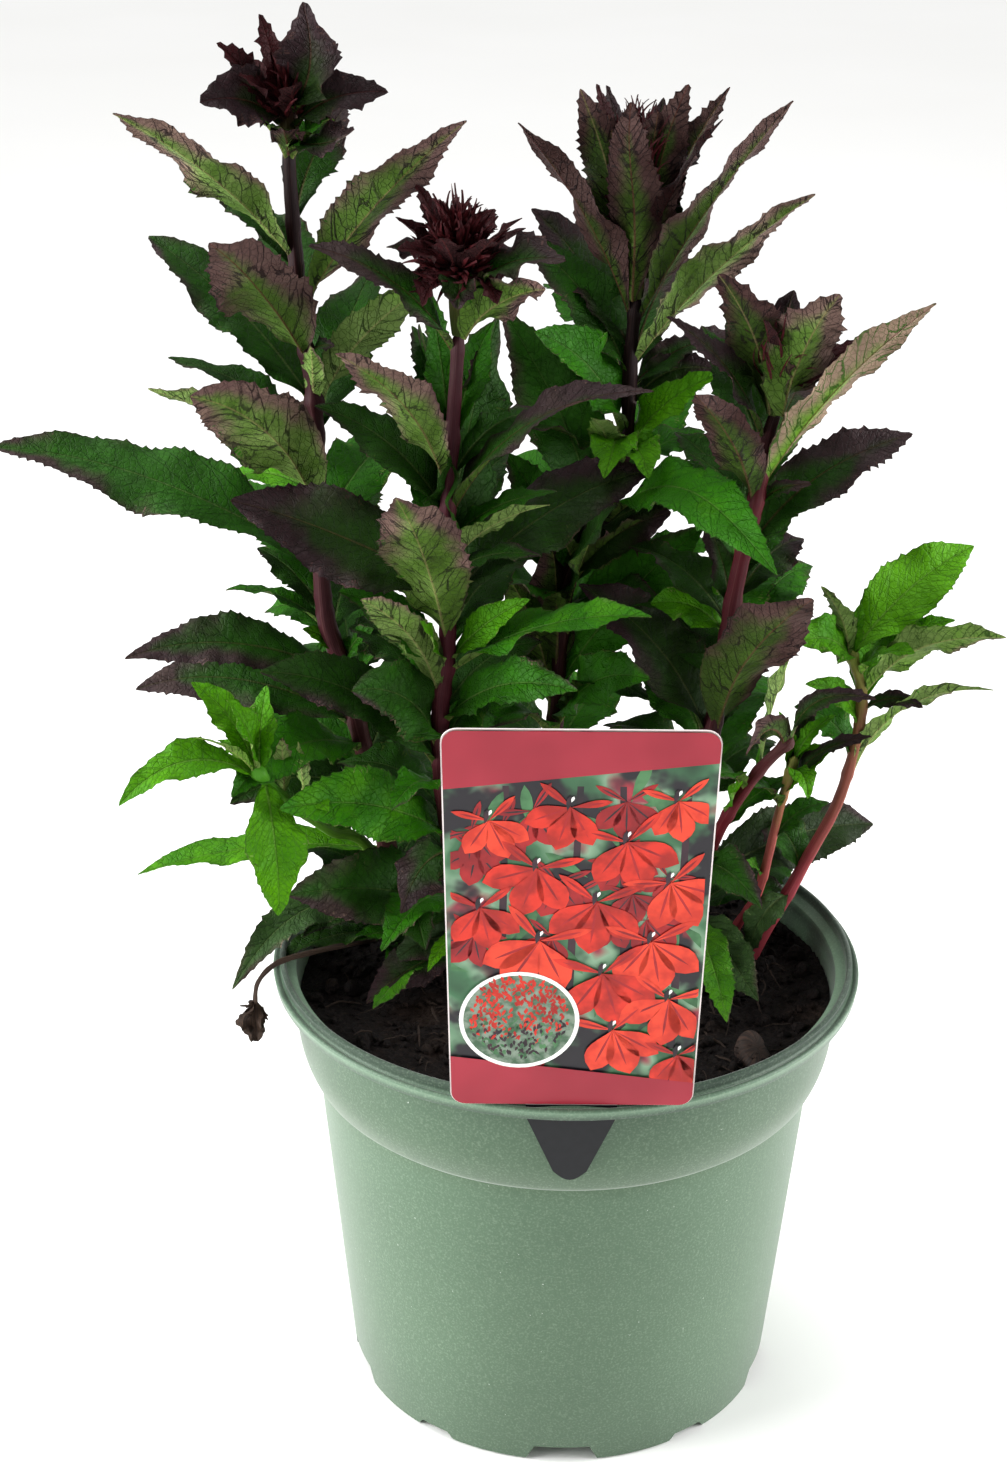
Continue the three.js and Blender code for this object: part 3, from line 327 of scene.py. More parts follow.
# Stems: path and end radii, then the large and the small leaves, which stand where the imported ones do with
# some bends and turns refined against the photograph, and extra ones that fill the plant out behind and
# between them. A leaf row is the height of its joint on the stem, its tip x, y, z, its width, how far its
# midrib arches, its roll and its look.
STEMS = {
    "left": {
        "path": [(-47, 23, 108), (-47, 23, 124), (-58, 16, 187), (-65, 12, 220), (-69, 10, 240),
                 (-70, 8, 296), (-73, 8, 319), (-75, 8, 356), (-75, 8, 364)],
        "radius": (3.1, 1.6),
        "large": [
            (337, -116, -17, 377, 15, 3, 40, "veined"), (324, -29, -12, 375, 16, 3, -45, "pink"),
            (311, -92, -30, 348, 22, 2, 30, "pink"), (297, -116, 34, 335, 20, 4, -30, "deep"),
            (288, -55, 42, 326, 19, 4, 0, "dark"), (269, -98, -33, 310, 23, 6, 45, "veined"),
            (250, -160, 18, 280, 22, 7, -28, "moss"), (216, -124, 2, 224, 15, 7, -45, "grey"),
            (200, -124, 18, 208, 19, 8, -40, "grey"), (174, -96, -1, 181, 18, 8, -40, "dark"),
            (157, -127, 21, 147, 14, 5, -8, "young"),
        ],
        "small": [
            (345, -62, 36, 370, 14, 4, 10, "bronze"), (333, -102, 22, 357, 10, 3, -25, "dark"),
            (318, -84, 50, 338, 16, 5, -10, "dark"), (310, -64, 4, 313, 4, 1, 40, "bronze"),
            (296, -70, 0, 314, 6, 1, -25, "pale"), (297, -38, 8, 330, 12, 3, -80, "pale"),
            (286, -111, 24, 304, 11, 4, -10, "dark"), (277, -115, 11, 299, 11, 3, 50, "pale"),
            (270, -104, 36, 255, 9, 9, -35, "young"), (258, -46, 52, 276, 18, 6, 20, "green"),
            (240, -96, 54, 258, 18, 6, -20, "green"), (235, -89, 30, 247, 10, 3, -20, "dark"),
            (231, -97, 17, 239, 7, 4, 0, "green"), (222, -75, 8, 231, 5, 2, -55, "young"),
            (228, -88, 33, 226, 9, 5, -35, "green"), (218, -55, 6, 232, 7, 2, 60, "green"),
            (210, -55, 5, 224, 7, 2, 60, "green"), (206, -68, 64, 220, 18, 8, 0, "green"),
            (184, -102, 50, 192, 16, 8, -20, "green"), (164, -50, 70, 172, 17, 9, 10, "green"),
            (131, -96, -14, 128, 13, 17, -25, "ash"),
        ],
        "extra": [
            (243, -56, 44, 262, 17, 5, 10, "dark"), (228, -60, 54, 240, 18, 5, 0, "dark"),
            (212, -48, 34, 222, 14, 5, 20, "dark"), (198, -76, 50, 210, 17, 6, 0, "green"),
            (188, -40, 40, 200, 17, 6, 10, "dark"), (178, -88, 38, 188, 15, 6, -15, "dark"),
            (166, -36, 46, 176, 17, 6, 0, "dark"), (158, -86, 48, 168, 18, 7, 0, "green"),
            (148, -30, 44, 158, 17, 8, 10, "dark"), (142, -92, 32, 146, 16, 9, -10, "dark"),
            (136, -76, -4, 140, 15, 6, -15, "dark"), (192, -92, -30, 197, 17, 8, -35, "lush"),
            (134, -44, 62, 140, 16, 8, 0, "green"),
        ],
    },
    "front": {
        "path": [(-28, 18, 108), (-28, 18, 124), (-30, 10, 140), (-35, -4, 185), (-36, -6, 212),
                 (-34, -8, 235), (-34, -10, 271), (-32, -10, 303), (-31, -10, 321)],
        "radius": (3.3, 1.6),
        "large": [
            (316, -68, -24, 346, 11, 5, -40, "bronze"), (281, -61, -36, 322, 14, 5, 40, "veined"),
            (272, -69, -4, 299, 14, 5, -40, "dark"), (273, 19, -22, 309, 14, 9, 20, "bronze"),
            (247, 22, 13, 277, 21, 6, 35, "black"), (251, -91, -14, 276, 24, 2, -68, "black"),
            (237, -46, -46, 288, 22, 3, 10, "veined"), (226, 20, -29, 250, 15, 5, 20, "lush"),
            (210, 1, -32, 230, 14, 6, 50, "green"), (203, -59, -29, 228, 21, 6, -65, "dark"),
            (197, -84, -21, 230, 19, 7, -50, "deep"), (173, -79, -31, 194, 20, 5, -58, "lush"),
            (141, -78, -24, 164, 24, 5, -65, "moss"),
        ],
        "small": [
            (292, -22, 4, 320, 11, 2, 10, "green"), (292, -44, 14, 316, 10, 2, 0, "dark"),
            (289, -39, 4, 328, 10, 2, 5, "green"), (281, -6, 12, 292, 9, 7, 30, "dark"),
            (264, -5, -10, 278, 7, 3, 20, "green"), (258, -7, -21, 278, 8, 3, -35, "pale"),
            (262, -44, 26, 278, 15, 5, 0, "green"), (254, -9, -16, 262, 7, 3, 20, "dark"),
            (232, -22, 26, 246, 15, 6, 10, "green"), (228, -12, -17, 250, 9, 2, 60, "young"),
            (227, -41, -21, 245, 6, 1, -60, "young"), (225, -63, -15, 251, 12, 4, -55, "green"),
            (219, -56, -31, 255, 12, 4, 40, "pale"), (219, -52, 10, 233, 8, 3, -25, "green"),
            (189, -49, -27, 192, 11, 5, -10, "green"), (190, -20, 22, 204, 14, 6, 10, "green"),
            (166, -47, -21, 157, 17, 6, -70, "grey"), (134, -40, -8, 131, 5, 3, -15, "young"),
        ],
        "extra": [
            (262, -18, 16, 280, 13, 4, 10, "dark"), (258, -21, 8, 320, 23, 3, 86, "dark"),
            (254, -42, 8, 318, 20, 3, -86, "deep"), (240, -60, 10, 256, 15, 5, -10, "dark"),
            (236, -12, 10, 252, 15, 5, 20, "dark"), (214, -62, 12, 230, 16, 6, -15, "dark"),
            (212, -8, 12, 226, 16, 6, 10, "dark"), (202, -12, -4, 216, 14, 6, 20, "green"),
            (196, -58, 8, 206, 15, 6, 0, "green"), (184, -8, 4, 196, 16, 7, 10, "dark"),
            (178, -66, 8, 190, 16, 7, -10, "dark"), (170, -8, -16, 182, 14, 7, 20, "green"),
            (160, -60, 2, 170, 16, 8, -10, "dark"), (152, -4, 0, 162, 16, 8, 10, "dark"),
            (146, -52, -30, 150, 15, 8, -10, "green"), (140, -4, -14, 144, 14, 8, 10, "dark"),
            (129, -50, -6, 133, 12, 4, -60, "ash"), (127, -57, -21, 128, 14, 3, -20, "olive"),
        ],
    },
    "back": {
        "path": [(-6, 34, 108), (-6, 34, 124), (-4, 30, 180), (-1, 30, 235), (8, 32, 252),
                 (15, 36, 278), (16, 38, 303), (17, 38, 319)],
        "radius": (2.8, 1.6),
        "large": [
            (314, -16, 30, 367, 14, 3, 25, "dusky"), (313, 56, 26, 374, 15, 2, -30, "bronze"),
            (304, -12, 54, 339, 18, 3, -30, "olive"), (301, 63, 24, 350, 15, 3, -45, "veined"),
            (280, -11, 20, 313, 18, 5, -62, "lush"), (254, -20, 24, 318, 21, 3, -84, "moss"),
            (255, 51, -40, 266, 18, 16, 35, "lush"), (230, 43, 41, 246, 16, 3, 30, "green"),
        ],
        "small": [
            (298, 32, 72, 324, 16, 4, 0, "bronze"), (293, 47, 48, 305, 10, 4, 20, "bronze"),
            (288, 41, 40, 297, 10, 5, 45, "black"), (296, -8, 78, 312, 17, 5, 0, "green"),
            (277, 8, 4, 277, 13, 5, 0, "young"), (274, 20, 4, 277, 13, 5, 0, "young"),
            (272, 40, 23, 301, 12, 4, 55, "young"), (265, 40, 78, 282, 18, 7, 10, "green"),
            (269, 5, 10, 292, 10, 2, 0, "pale"), (250, -22, 66, 262, 18, 7, -10, "green"),
            (237, 32, 27, 263, 11, 4, -35, "olive"), (221, 22, 78, 235, 20, 8, 5, "green"),
            (205, -18, 74, 214, 18, 8, -5, "green"), (194, 21, -14, 226, 17, 6, 60, "green"),
            (182, 22, 72, 190, 18, 9, 10, "green"), (160, -12, 76, 166, 16, 9, 0, "green"),
        ],
        "extra": [
            (268, -16, 22, 286, 15, 5, -10, "dark"), (262, 38, 44, 278, 14, 5, 10, "green"),
            (244, -22, 14, 262, 16, 6, -10, "dark"), (236, 26, 50, 252, 17, 6, 10, "dark"),
            (226, -26, 12, 242, 17, 7, -15, "green"), (222, 26, 8, 238, 16, 6, 15, "dark"),
            (212, 34, 46, 226, 18, 7, 10, "green"), (204, -30, 14, 218, 17, 7, -10, "dark"),
            (198, 22, 4, 212, 16, 7, 15, "dark"), (188, -24, 6, 202, 15, 7, -10, "green"),
            (180, -32, 38, 190, 18, 8, -10, "dark"), (170, 30, 44, 180, 18, 8, 10, "dark"),
            (158, -34, 24, 168, 17, 8, -10, "green"), (150, 26, 12, 160, 16, 8, 10, "dark"),
            (142, -26, 52, 148, 17, 9, -10, "dark"), (136, 24, 56, 140, 16, 9, 10, "green"),
            (206, 37, 18, 259, 20, 3, 72, "green"), (252, 28, 2, 270, 12, 3, 50, "black"),
            (228, 12, 8, 268, 16, 4, 60, "dark"), (212, -7, 18, 256, 18, 2, 78, "black"),
            (196, -18, 20, 243, 16, 3, 70, "dark"), (232, -19, 30, 276, 16, 4, -75, "green"),
            (240, 28, 26, 260, 15, 3, 75, "black"), (296, -14, 40, 334, 16, 4, -60, "dark"),
        ],
    },
    "right": {
        "path": [(22, 22, 108), (22, 22, 124), (30, 8, 160), (40, 0, 206), (44, -4, 248),
                 (48, -8, 275), (50, -9, 292), (52, -10, 301)],
        "radius": (3.3, 1.5),
        "large": [
            (288, 33, 9, 318, 13, 2, -20, "dark"), (282, 89, -24, 333, 14, 3, -35, "rose"),
            (276, 29, -32, 311, 14, 3, 25, "olive"), (260, 91, 8, 289, 17, 6, 35, "bronze"),
            (207, 61, -36, 258, 21, 5, -30, "olive"), (203, 2, 13, 243, 21, 6, -35, "black"),
        ],
        "small": [
            (292, 22, -17, 327, 10, 4, -40, "olive"), (274, 62, -12, 281, 4, 2, 40, "bronze"),
            (270, 31, 8, 283, 6, 3, -20, "dark"), (277, 66, 34, 298, 14, 5, 10, "bronze"),
            (245, 65, 22, 254, 15, 4, 15, "black"), (242, 36, 7, 266, 9, 2, -10, "grey"),
            (235, 22, 9, 239, 13, 4, -35, "young"), (232, 31, 22, 238, 12, 3, -15, "dark"),
            (225, 70, 38, 240, 17, 7, 10, "green"), (202, 47, 13, 212, 8, 2, 0, "dark"),
            (190, 60, 50, 200, 18, 8, 10, "green"),
        ],
        "extra": [
            (268, 28, 24, 284, 12, 4, -10, "dark"), (256, 30, 28, 272, 14, 5, -10, "green"),
            (250, 62, 18, 268, 11, 4, 20, "dark"), (238, 16, 20, 252, 14, 5, -10, "dark"),
            (230, 56, 36, 242, 15, 6, 10, "green"), (218, 22, 36, 230, 16, 6, -10, "dark"),
            (210, 60, 30, 222, 14, 6, 15, "dark"), (198, 22, 34, 208, 17, 7, -10, "green"),
            (186, 10, 18, 198, 15, 7, -10, "dark"), (176, 62, 34, 186, 15, 7, 10, "dark"),
            (166, 4, -6, 176, 15, 7, -15, "green"), (156, 54, -22, 160, 14, 8, 15, "dark"),
            (146, 0, 6, 154, 16, 8, -10, "dark"), (138, 20, -30, 142, 14, 8, 0, "green"),
        ],
    },
    "young_left": {
        "path": [(-40, 10, 108), (-40, 10, 124), (-57, 3, 165), (-68, -3, 174), (-79, -14, 189),
                 (-86, -25, 203)],
        "radius": (1.9, 1.2),
        "large": [
            (200, -122, -34, 196, 11, 9, -35, "young"), (198, -80, -34, 163, 16, 6, -15, "young"),
        ],
        "small": [
            (202, -103, -19, 226, 10, 3, -30, "young"), (202, -92, -31, 226, 9, 2, -60, "young"),
            (201, -83, -16, 224, 10, 2, -10, "young"), (202, -101, -33, 216, 4, 2, 30, "young"),
            (190, -79, -17, 209, 5, 1, 10, "pale"), (182, -75, -13, 206, 5, 1, -30, "pale"),
            (130, -63, -4, 138, 6, 4, -20, "green"), (128, -52, -3, 131, 12, 2, 0, "green"),
            (127, -55, -24, 128, 10, 2, 0, "pale"),
        ],
        "extra": [
            (196, -98, -8, 204, 8, 3, -10, "young"), (186, -66, -28, 192, 8, 3, 20, "young"),
            (170, -88, 4, 178, 11, 4, -10, "green"), (150, -76, -14, 156, 12, 5, -20, "green"),
            (140, -40, -22, 146, 12, 5, 15, "dark"), (132, -84, -4, 132, 12, 6, -10, "dark"),
        ],
    },
    "young_right": {
        "path": [(56, 14, 108), (56, 14, 124), (67, 20, 144), (72, 22, 154), (80, 22, 173),
                 (84, 20, 196), (84, 20, 209), (80, 20, 221)],
        "radius": (2.1, 1.3),
        "large": [
            (220, 117, 42, 245, 18, 4, 38, "bright"), (209, 121, 6, 231, 12, 6, -60, "pale"),
        ],
        "small": [
            (220, 70, 16, 242, 6, 2, 45, "pale"), (220, 83, 24, 234, 5, 1, 0, "young"),
            (215, 110, 24, 229, 8, 3, 20, "young"), (218, 63, 8, 228, 13, 4, -55, "young"),
            (205, 92, 46, 222, 12, 5, 10, "young"), (203, 101, 14, 206, 5, 3, 40, "olive"),
            (198, 67, 14, 213, 8, 4, -60, "young"), (182, 120, 11, 213, 9, 9, -40, "pale"),
            (143, 54, 6, 129, 10, 5, -5, "ash"),
        ],
        "extra": [
            (214, 96, 6, 226, 9, 3, 20, "young"), (188, 66, 28, 200, 12, 4, -20, "green"),
            (150, 58, 34, 158, 13, 6, -10, "dark"),
        ],
    },
    "young_inner": {
        "path": [(38, 30, 108), (38, 30, 124), (39, 12, 148), (43, 0, 173), (52, -8, 195),
                 (61, -12, 208)],
        "radius": (2.1, 1.5),
        "large": [
            # Its near-black shade look is painted shade, where it lies low under the foliage
            (150, 96, 55, 149, 20, 6, 36, "shade"),
        ],
        "small": [
            (206, 82, -20, 223, 6, 7, 40, "black"), (206, 47, -24, 208, 10, 6, 60, "olive"),
            (196, 62, 2, 233, 9, 2, -70, "pale"), (180, 49, -11, 197, 7, 1, 60, "young"),
            (138, 64, 40, 134, 14, 4, 30, "green"), (137, 45, -30, 128, 12, 3, 0, "pale"),
        ],
        "extra": [
            (190, 38, -22, 200, 8, 3, -10, "green"), (174, 66, 10, 186, 9, 3, 10, "green"),
            (160, 30, -16, 166, 11, 4, -10, "dark"), (136, 66, 22, 142, 15, 6, 10, "dark"),
            (130, 20, 44, 136, 14, 6, -10, "dark"), (137, 55, -18, 128, 13, 2, 10, "ash"),
        ],
    },
    "young_middle": {
        "path": [(52, 30, 108), (52, 30, 124), (57, 14, 147), (61, 8, 176), (64, 4, 195)],
        "radius": (1.6, 1.1),
        "large": [],
        "small": [
            (190, 70, 12, 210, 6, 1, 10, "olive"), (193.5, 75, 6, 207, 5, 2, 35, "young"),
            (188, 59, 6, 208, 6, 1, -40, "young"), (186, 84, -4, 205, 6, 3, 30, "olive"),
            (181, 76, 2, 199, 8, 3, 40, "young"), (190, 67, -7, 187, 7, 4, 0, "young"),
            (153, 52, 7, 160, 4, 1, -40, "pale"),
        ],
        "extra": [
            (178, 52, -6, 190, 7, 2, -20, "green"), (166, 76, 14, 176, 8, 3, 20, "green"),
            (136, 70, 46, 140, 13, 6, 10, "dark"),
        ],
    },
}

# Colours of each stem from the compost to the top
STEM_COLOURS = {
    "left": ("#32201a", "#3c181e", "#28090f", "#12070a"),
    "front": ("#34241a", "#421a20", "#461a24", "#34161c"),
    "back": ("#30201a", "#2e1216", "#1e0a0e", "#14070a"),
    "right": ("#1c100e", "#260b10", "#460e17", "#1e0a0d"),
    "young_left": ("#42501f", "#466a1c", "#4a7820", "#3f7a1a"),
    "young_right": ("#7a2a34", "#86343a", "#7a4a38", "#66702c"),
    "young_inner": ("#5c131c", "#5c131c", "#52161e", "#3c1c1c"),
    "young_middle": ("#8e343c", "#963c42", "#8e4a40", "#6e7034"),
}

# Bud heads: the core's foot, height and radius, the bracts, and the hair-like strips of the closed buds.
# A bract row is its foot x, y, z, its tip x, y, z, its width, its arch, its roll and its look. The strips are
# given by their count, the span of heights and the radius they start in, their lean, length and width.
HEADS = {
    "left": {
        "foot": (-75, 8, 363),
        "core": (14, 2.4),
        "bracts": [
            (-73.5, 6, 374, -70.3, 4, 401, 16, -4, 90, "bract"),
            (-76, 8, 368, -81.5, 6, 397.7, 7.5, 1, -80, "maroon"),
            (-77, 8, 371, -92, 3, 391, 7.5, 1, -60, "maroon"),
            (-77, 7, 371, -96, -4, 377.5, 15, 3, -60, "dusky"),
            (-74, 6, 370, -49, 1, 379.5, 11, 3, 48, "dusky"),
            (-74, 6, 366, -57.5, -5, 371.4, 11, -2, 30, "olive"),
            (-75.5, 7, 362, -82.5, 0, 374, 9, 1, -20, "green"),
            (-74.5, 7, 362, -64, 0, 373, 9, 1, 20, "green"), (-75, 6, 363, -75, -5, 371, 8, 1, 0, "olive"),
            (-76, 10, 368, -88, 22, 385, 10, 2, 0, "maroon"),
            (-74, 10, 368, -63, 24, 388, 11, 2, 0, "bract"),
            (-75, 10, 366, -77, 32, 378, 11, 2, 0, "black"), (-75, 9, 364, -66, 24, 366, 10, 2, 0, "green"),
            (-78, 7, 374, -86, -2, 384, 6, 1, -40, "maroon"),
            (-75, 5, 373, -72, -4, 382, 7, 1, 20, "maroon"),
        ],
        "strips": (60, (372, 380), 3, (5, 70), (6, 12), 1.0),
    },
    "front": {
        "foot": (-31, -10, 320),
        "core": (25, 2.4),
        "bracts": [
            (-30, -12, 320, -9, -25, 336, 14, 3, -52, "veined"),
            (-29, -12, 331, -4, -20, 342, 14, 4, 30, "pink"),
            (-30, -8, 331, -14, 8, 338, 11, 3, 0, "black"), (-32, -8, 331, -50, 2, 340, 10, 3, 0, "black"),
            (-33, -12, 336, -46, -22, 345, 7, 2, -30, "maroon"),
            (-30, -12, 337, -15, -17, 352, 6, 1, 0, "maroon"),
            (-29, -10, 336, -14, -6, 347, 6, 1, 0, "maroon"),
            (-33, -10, 336, -47, -8, 350, 6, 1, -20, "maroon"),
            (-32, -9, 338, -42, -2, 357, 6, 1, -30, "maroon"),
            (-31, -13, 336, -35, -27, 349, 7, 1, 0, "maroon"),
            (-30, -13, 336, -22, -27, 349, 7, 1, 0, "maroon"),
            (-31, -7, 336, -34, 8, 348, 8, 1, 0, "maroon"), (-30, -7, 336, -22, 7, 349, 8, 1, 0, "maroon"),
            (-33, -13, 337, -40, -20, 330, 8, 2, 0, "maroon"),
            (-30, -14, 337, -31, -23, 330, 9, 2, 0, "black"),
            (-28, -13, 337, -21, -21, 331, 8, 2, 0, "maroon"),
            (-33, -9, 337, -43, -8, 331, 8, 2, 0, "maroon"),
            (-29, -8, 337, -21, -2, 331, 8, 2, 0, "maroon"), (-32, -7, 337, -36, 3, 331, 8, 2, 0, "maroon"),
        ],
        "strips": (300, (334, 347), 5, (0, 88), (7, 12.5), 1.5),
    },
    "back": {
        "foot": (16.5, 38, 318),
        "core": (32, 3.0),
        "bracts": [
            (16, 35, 318, 13.2, 20, 374.3, 14, 3, 0, "olive"),
            (14, 37, 321, 0.2, 29, 376, 14, 3, 50, "black"),
            (18, 37, 321, 28.6, 28, 377.6, 14, 3, -55, "olive"),
            (19, 38, 326, 40.5, 40, 375, 10, 3, -70, "bract"),
            (19, 37, 332, 38, 29, 368.5, 8, 2, 0, "maroon"),
            (14, 39, 324, 5, 43, 375, 11, 2, -20, "maroon"), (15, 40, 324, 8, 53, 373, 12, 2, 0, "bract"),
            (18, 41, 324, 24, 58, 369, 13, 2, 0, "black"), (20, 40, 323, 36, 53, 362, 11, 2, 0, "black"),
            (14, 40, 323, 1, 55, 360, 11, 2, 0, "bract"), (17, 37, 322, 21, 31, 370, 18, 1, -30, "bract"),
            (15, 37, 322, 8, 32, 369, 15, 1, 30, "bract"), (17, 40, 330, 20, 48, 367, 11, 1, 0, "maroon"),
        ],
        "strips": (90, (350, 363), 7.5, (0, 18), (8, 14), 0.9),
    },
    "right": {
        "foot": (51.5, -10, 299.5),
        "core": (16, 2.6),
        "bracts": [
            (51, -11, 300, 34.7, -18, 338.4, 16, 3, 50, "black"),
            (52.5, -12, 300, 65, -22, 334.5, 18, 2, -45, "veined"),
            (53, -9, 303, 76, -9, 319, 9, 2, 30, "maroon"), (52, -7, 303, 56, 0, 330, 13, 2, 0, "black"),
            (51, -8, 303, 43, -3, 329, 10, 2, 0, "bract"), (53, -8, 303, 64, 6, 322, 10, 2, 0, "maroon"),
            (51, -7, 302, 46, 9, 322, 10, 2, 0, "black"), (52, -7, 301, 55, 15, 314, 11, 2, 0, "olive"),
            (50, -9, 301, 36, 1, 316, 10, 2, 0, "dark"), (51, -11, 306, 47, -15, 326, 8, 1, 0, "maroon"),
            (53, -10, 306, 55, -13, 325, 8, 1, 0, "maroon"),
        ],
        "strips": (50, (310, 318), 4.5, (0, 45), (7, 13), 0.75),
    },
}


# Vectors and curves

def unit(v):
    return v / np.linalg.norm(v, axis=-1, keepdims=True)


def stacked(*parts):
    """Arrays or numbers as the parts of one array of vectors."""
    return np.stack(np.broadcast_arrays(*parts), axis=-1)


def round_angles(sides):
    return np.arange(sides) / sides * FULL_TURN


def turned(v, axis, angles):
    """v turned about a unit axis by each of the angles."""
    cos, sin = np.cos(angles)[:, None], np.sin(angles)[:, None]
    return v * cos + np.cross(axis, v) * sin + axis * (axis @ v) * (1 - cos)


def smooth_step(low, high, x):
    share = np.clip((x - low) / (high - low), 0, 1)
    return share * share * (3 - 2 * share)


class Curve:
    """A uniform Catmull-Rom curve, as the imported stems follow."""

    def __init__(self, points):
        inner = np.array(points, float)
        self.points = np.vstack([2 * inner[0] - inner[1], inner, 2 * inner[-1] - inner[-2]])
        self.spans = len(inner) - 1

    def at(self, t):
        place = min(max(t, 0), 1) * self.spans
        span = min(int(place), self.spans - 1)
        s = place - span
        a, b, c, d = self.points[span:span + 4]
        start, end = (c - a) / 2, (d - b) / 2
        cubic = 2 * b - 2 * c + start + end
        square = 3 * c - 3 * b - 2 * start - end
        return cubic * s ** 3 + square * s ** 2 + start * s + b

    def sampled(self, count):
        return np.array([self.at(t) for t in np.linspace(0, 1, count)])

    def along(self, t):
        step = 1e-4
        return unit(self.at(min(1, t + step)) - self.at(max(0, t - step)))

    def parameter_at(self, height):
        low, high = 0.0, 1.0
        for _ in range(30):
            middle = (low + high) / 2
            if self.at(middle)[2] < height:
                low = middle
            else:
                high = middle
        return (low + high) / 2


# Meshes: everything is gathered as grids of quads, with what the materials read at each point

def in_scene(name, data):
    made = bpy.data.objects.new(name, data)
    bpy.context.scene.collection.objects.link(made)
    return made


class Gather:
    """Grids of quads that become one piece. place, grain and tone are the vectors that its materials read."""

    def __init__(self):
        self.verts, self.quads, self.slots = [], [], []
        self.read = {"place": [], "grain": [], "tone": []}
        self.count = 0

    def add(self, grid, place=(0, 0, 0), grain=(0, 0, 0), tone=(0, 0, 0), slot=0, closed=False, flip=False):
        rows, columns = grid.shape[:2]
        index = np.arange(rows * columns).reshape(rows, columns) + self.count
        right = np.roll(index, -1, axis=1) if closed else index[:, 1:]
        left = index if closed else index[:, :-1]
        quads = np.stack([left[:-1], left[1:], right[1:], right[:-1]], axis=-1).reshape(-1, 4)
        self.quads.append(quads[:, ::-1] if flip else quads)
        self.slots.append(np.full(len(quads), slot))
        self.verts.append(grid.reshape(-1, 3))
        for stored, given in zip(self.read.values(), (place, grain, tone)):
            stored.append(np.broadcast_to(given, (rows, columns, 3)).reshape(-1, 3))
        self.count += rows * columns

    def add_tube(self, points, radii, sides, seed, slot=0, grain=(0, 0, 0), **ribbing):
        grid = tube_grid(points, radii, sides, **ribbing)
        place = tube_place(len(points), sides, seed)
        self.add(grid, place, grain, slot=slot, closed=True, flip=True)
        return grid, place

    def piece(self, name, materials):
        verts = np.vstack(self.verts) * MM
        quads = np.vstack(self.quads)
        mesh = bpy.data.meshes.new(name)
        mesh.vertices.add(len(verts))
        mesh.vertices.foreach_set("co", verts.ravel())
        mesh.loops.add(quads.size)
        mesh.loops.foreach_set("vertex_index", quads.ravel().astype(np.int32))
        mesh.polygons.add(len(quads))
        mesh.polygons.foreach_set("loop_start", np.arange(0, quads.size, 4, dtype=np.int32))
        mesh.polygons.foreach_set("material_index", np.concatenate(self.slots).astype(np.int32))
        mesh.polygons.foreach_set("use_smooth", np.ones(len(quads), bool))
        for label, values in self.read.items():
            attribute = mesh.attributes.new(label, "FLOAT_VECTOR", "POINT")
            attribute.data.foreach_set("vector", np.vstack(values).ravel().astype(np.float32))
        mesh.update(calc_edges=True)
        mesh.validate()
        mesh.set_sharp_from_angle(angle=SMOOTH_ANGLE)
        for material in materials:
            mesh.materials.append(material)
        return in_scene(name, mesh)


def tube_grid(points, radii, sides, ribs=0, rib_depth=0.0, twist=0.0):
    """Rings along points. The rings are square to the way, and may have ribs round them."""
    ways = unit(np.gradient(points, axis=0))
    across = unit(np.cross(ways[0], (0.3, 0.9, 0.1)))
    rings = []
    angles = round_angles(sides)
    for number, (point, way) in enumerate(zip(points, ways)):
        across = unit(across - way * (across @ way))
        other = np.cross(way, across)
        turn = angles + twist * number
        radius = radii[number] * (1 + rib_depth * np.cos(ribs * angles)[:, None])
        rings.append(point + radius * (np.cos(turn)[:, None] * across + np.sin(turn)[:, None] * other))
    return np.array(rings)


def tube_place(rows, sides, seed):
    return stacked(np.arange(sides) / sides, np.linspace(0, 1, rows)[:, None], seed)


def ring_grid(outline, sides):
    """A section of r, z points, turned round the upright axis."""
    r, z = np.array(outline).T[..., None]
    angles = round_angles(sides)
    return stacked(r * np.cos(angles), r * np.sin(angles), z)


def lump_grid(centre, half, rng, rows, sides, rough):
    """A ball with a knobbly surface, its ends closed to a point."""
    up = np.linspace(-math.pi / 2, math.pi / 2, rows)[:, None]
    angles = round_angles(sides)
    way = stacked(np.cos(up) * np.cos(angles), np.cos(up) * np.sin(angles), np.sin(up))
    swell = np.ones((rows, sides))
    for _ in range(4):
        knob = unit(rng.normal(size=3))
        swell += rough * rng.uniform(-1, 1) * np.sin(3 * (way @ knob) + rng.uniform(0, 6))
    turn, _ = np.linalg.qr(rng.normal(size=(3, 3)))
    if np.linalg.det(turn) < 0:
        turn[:, 0] *= -1
    return np.array(centre) + (way * swell[..., None] * np.array(half)) @ turn.T


def rng_for(*names):
    """Random draws of a piece's own, so that a change to one piece leaves the others as they were."""
    code = SEED
    for letter in "/".join(str(n) for n in names):
        code = (code * 131 + ord(letter)) % (2 ** 31)
    return np.random.default_rng(code)


def place_on_root(made, slot_name, *nodes):
    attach(made, "root")
    if nodes:
        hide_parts(*nodes)


# Leaves

def blade_share(t):
    """Half the blade's width, as a share of the greatest, from the foot to the tip."""
    body = np.sin(math.pi * np.clip(t, 0, 1) ** 0.94) ** 0.8
    return np.maximum(np.maximum(LEAF_NECK * (1 - t) ** 2, body * (1 - 0.15 * t ** 5)), 0.012)


def toothed(count, depth, rng):
    """How far the margin stands out at four stations for each tooth, and at the tip."""
    depths = depth * (0.3 + 1.3 * rng.uniform(0, 1, count) ** 2)
    return np.append((depths[:, None] * TOOTH_RISE).ravel(), 0)


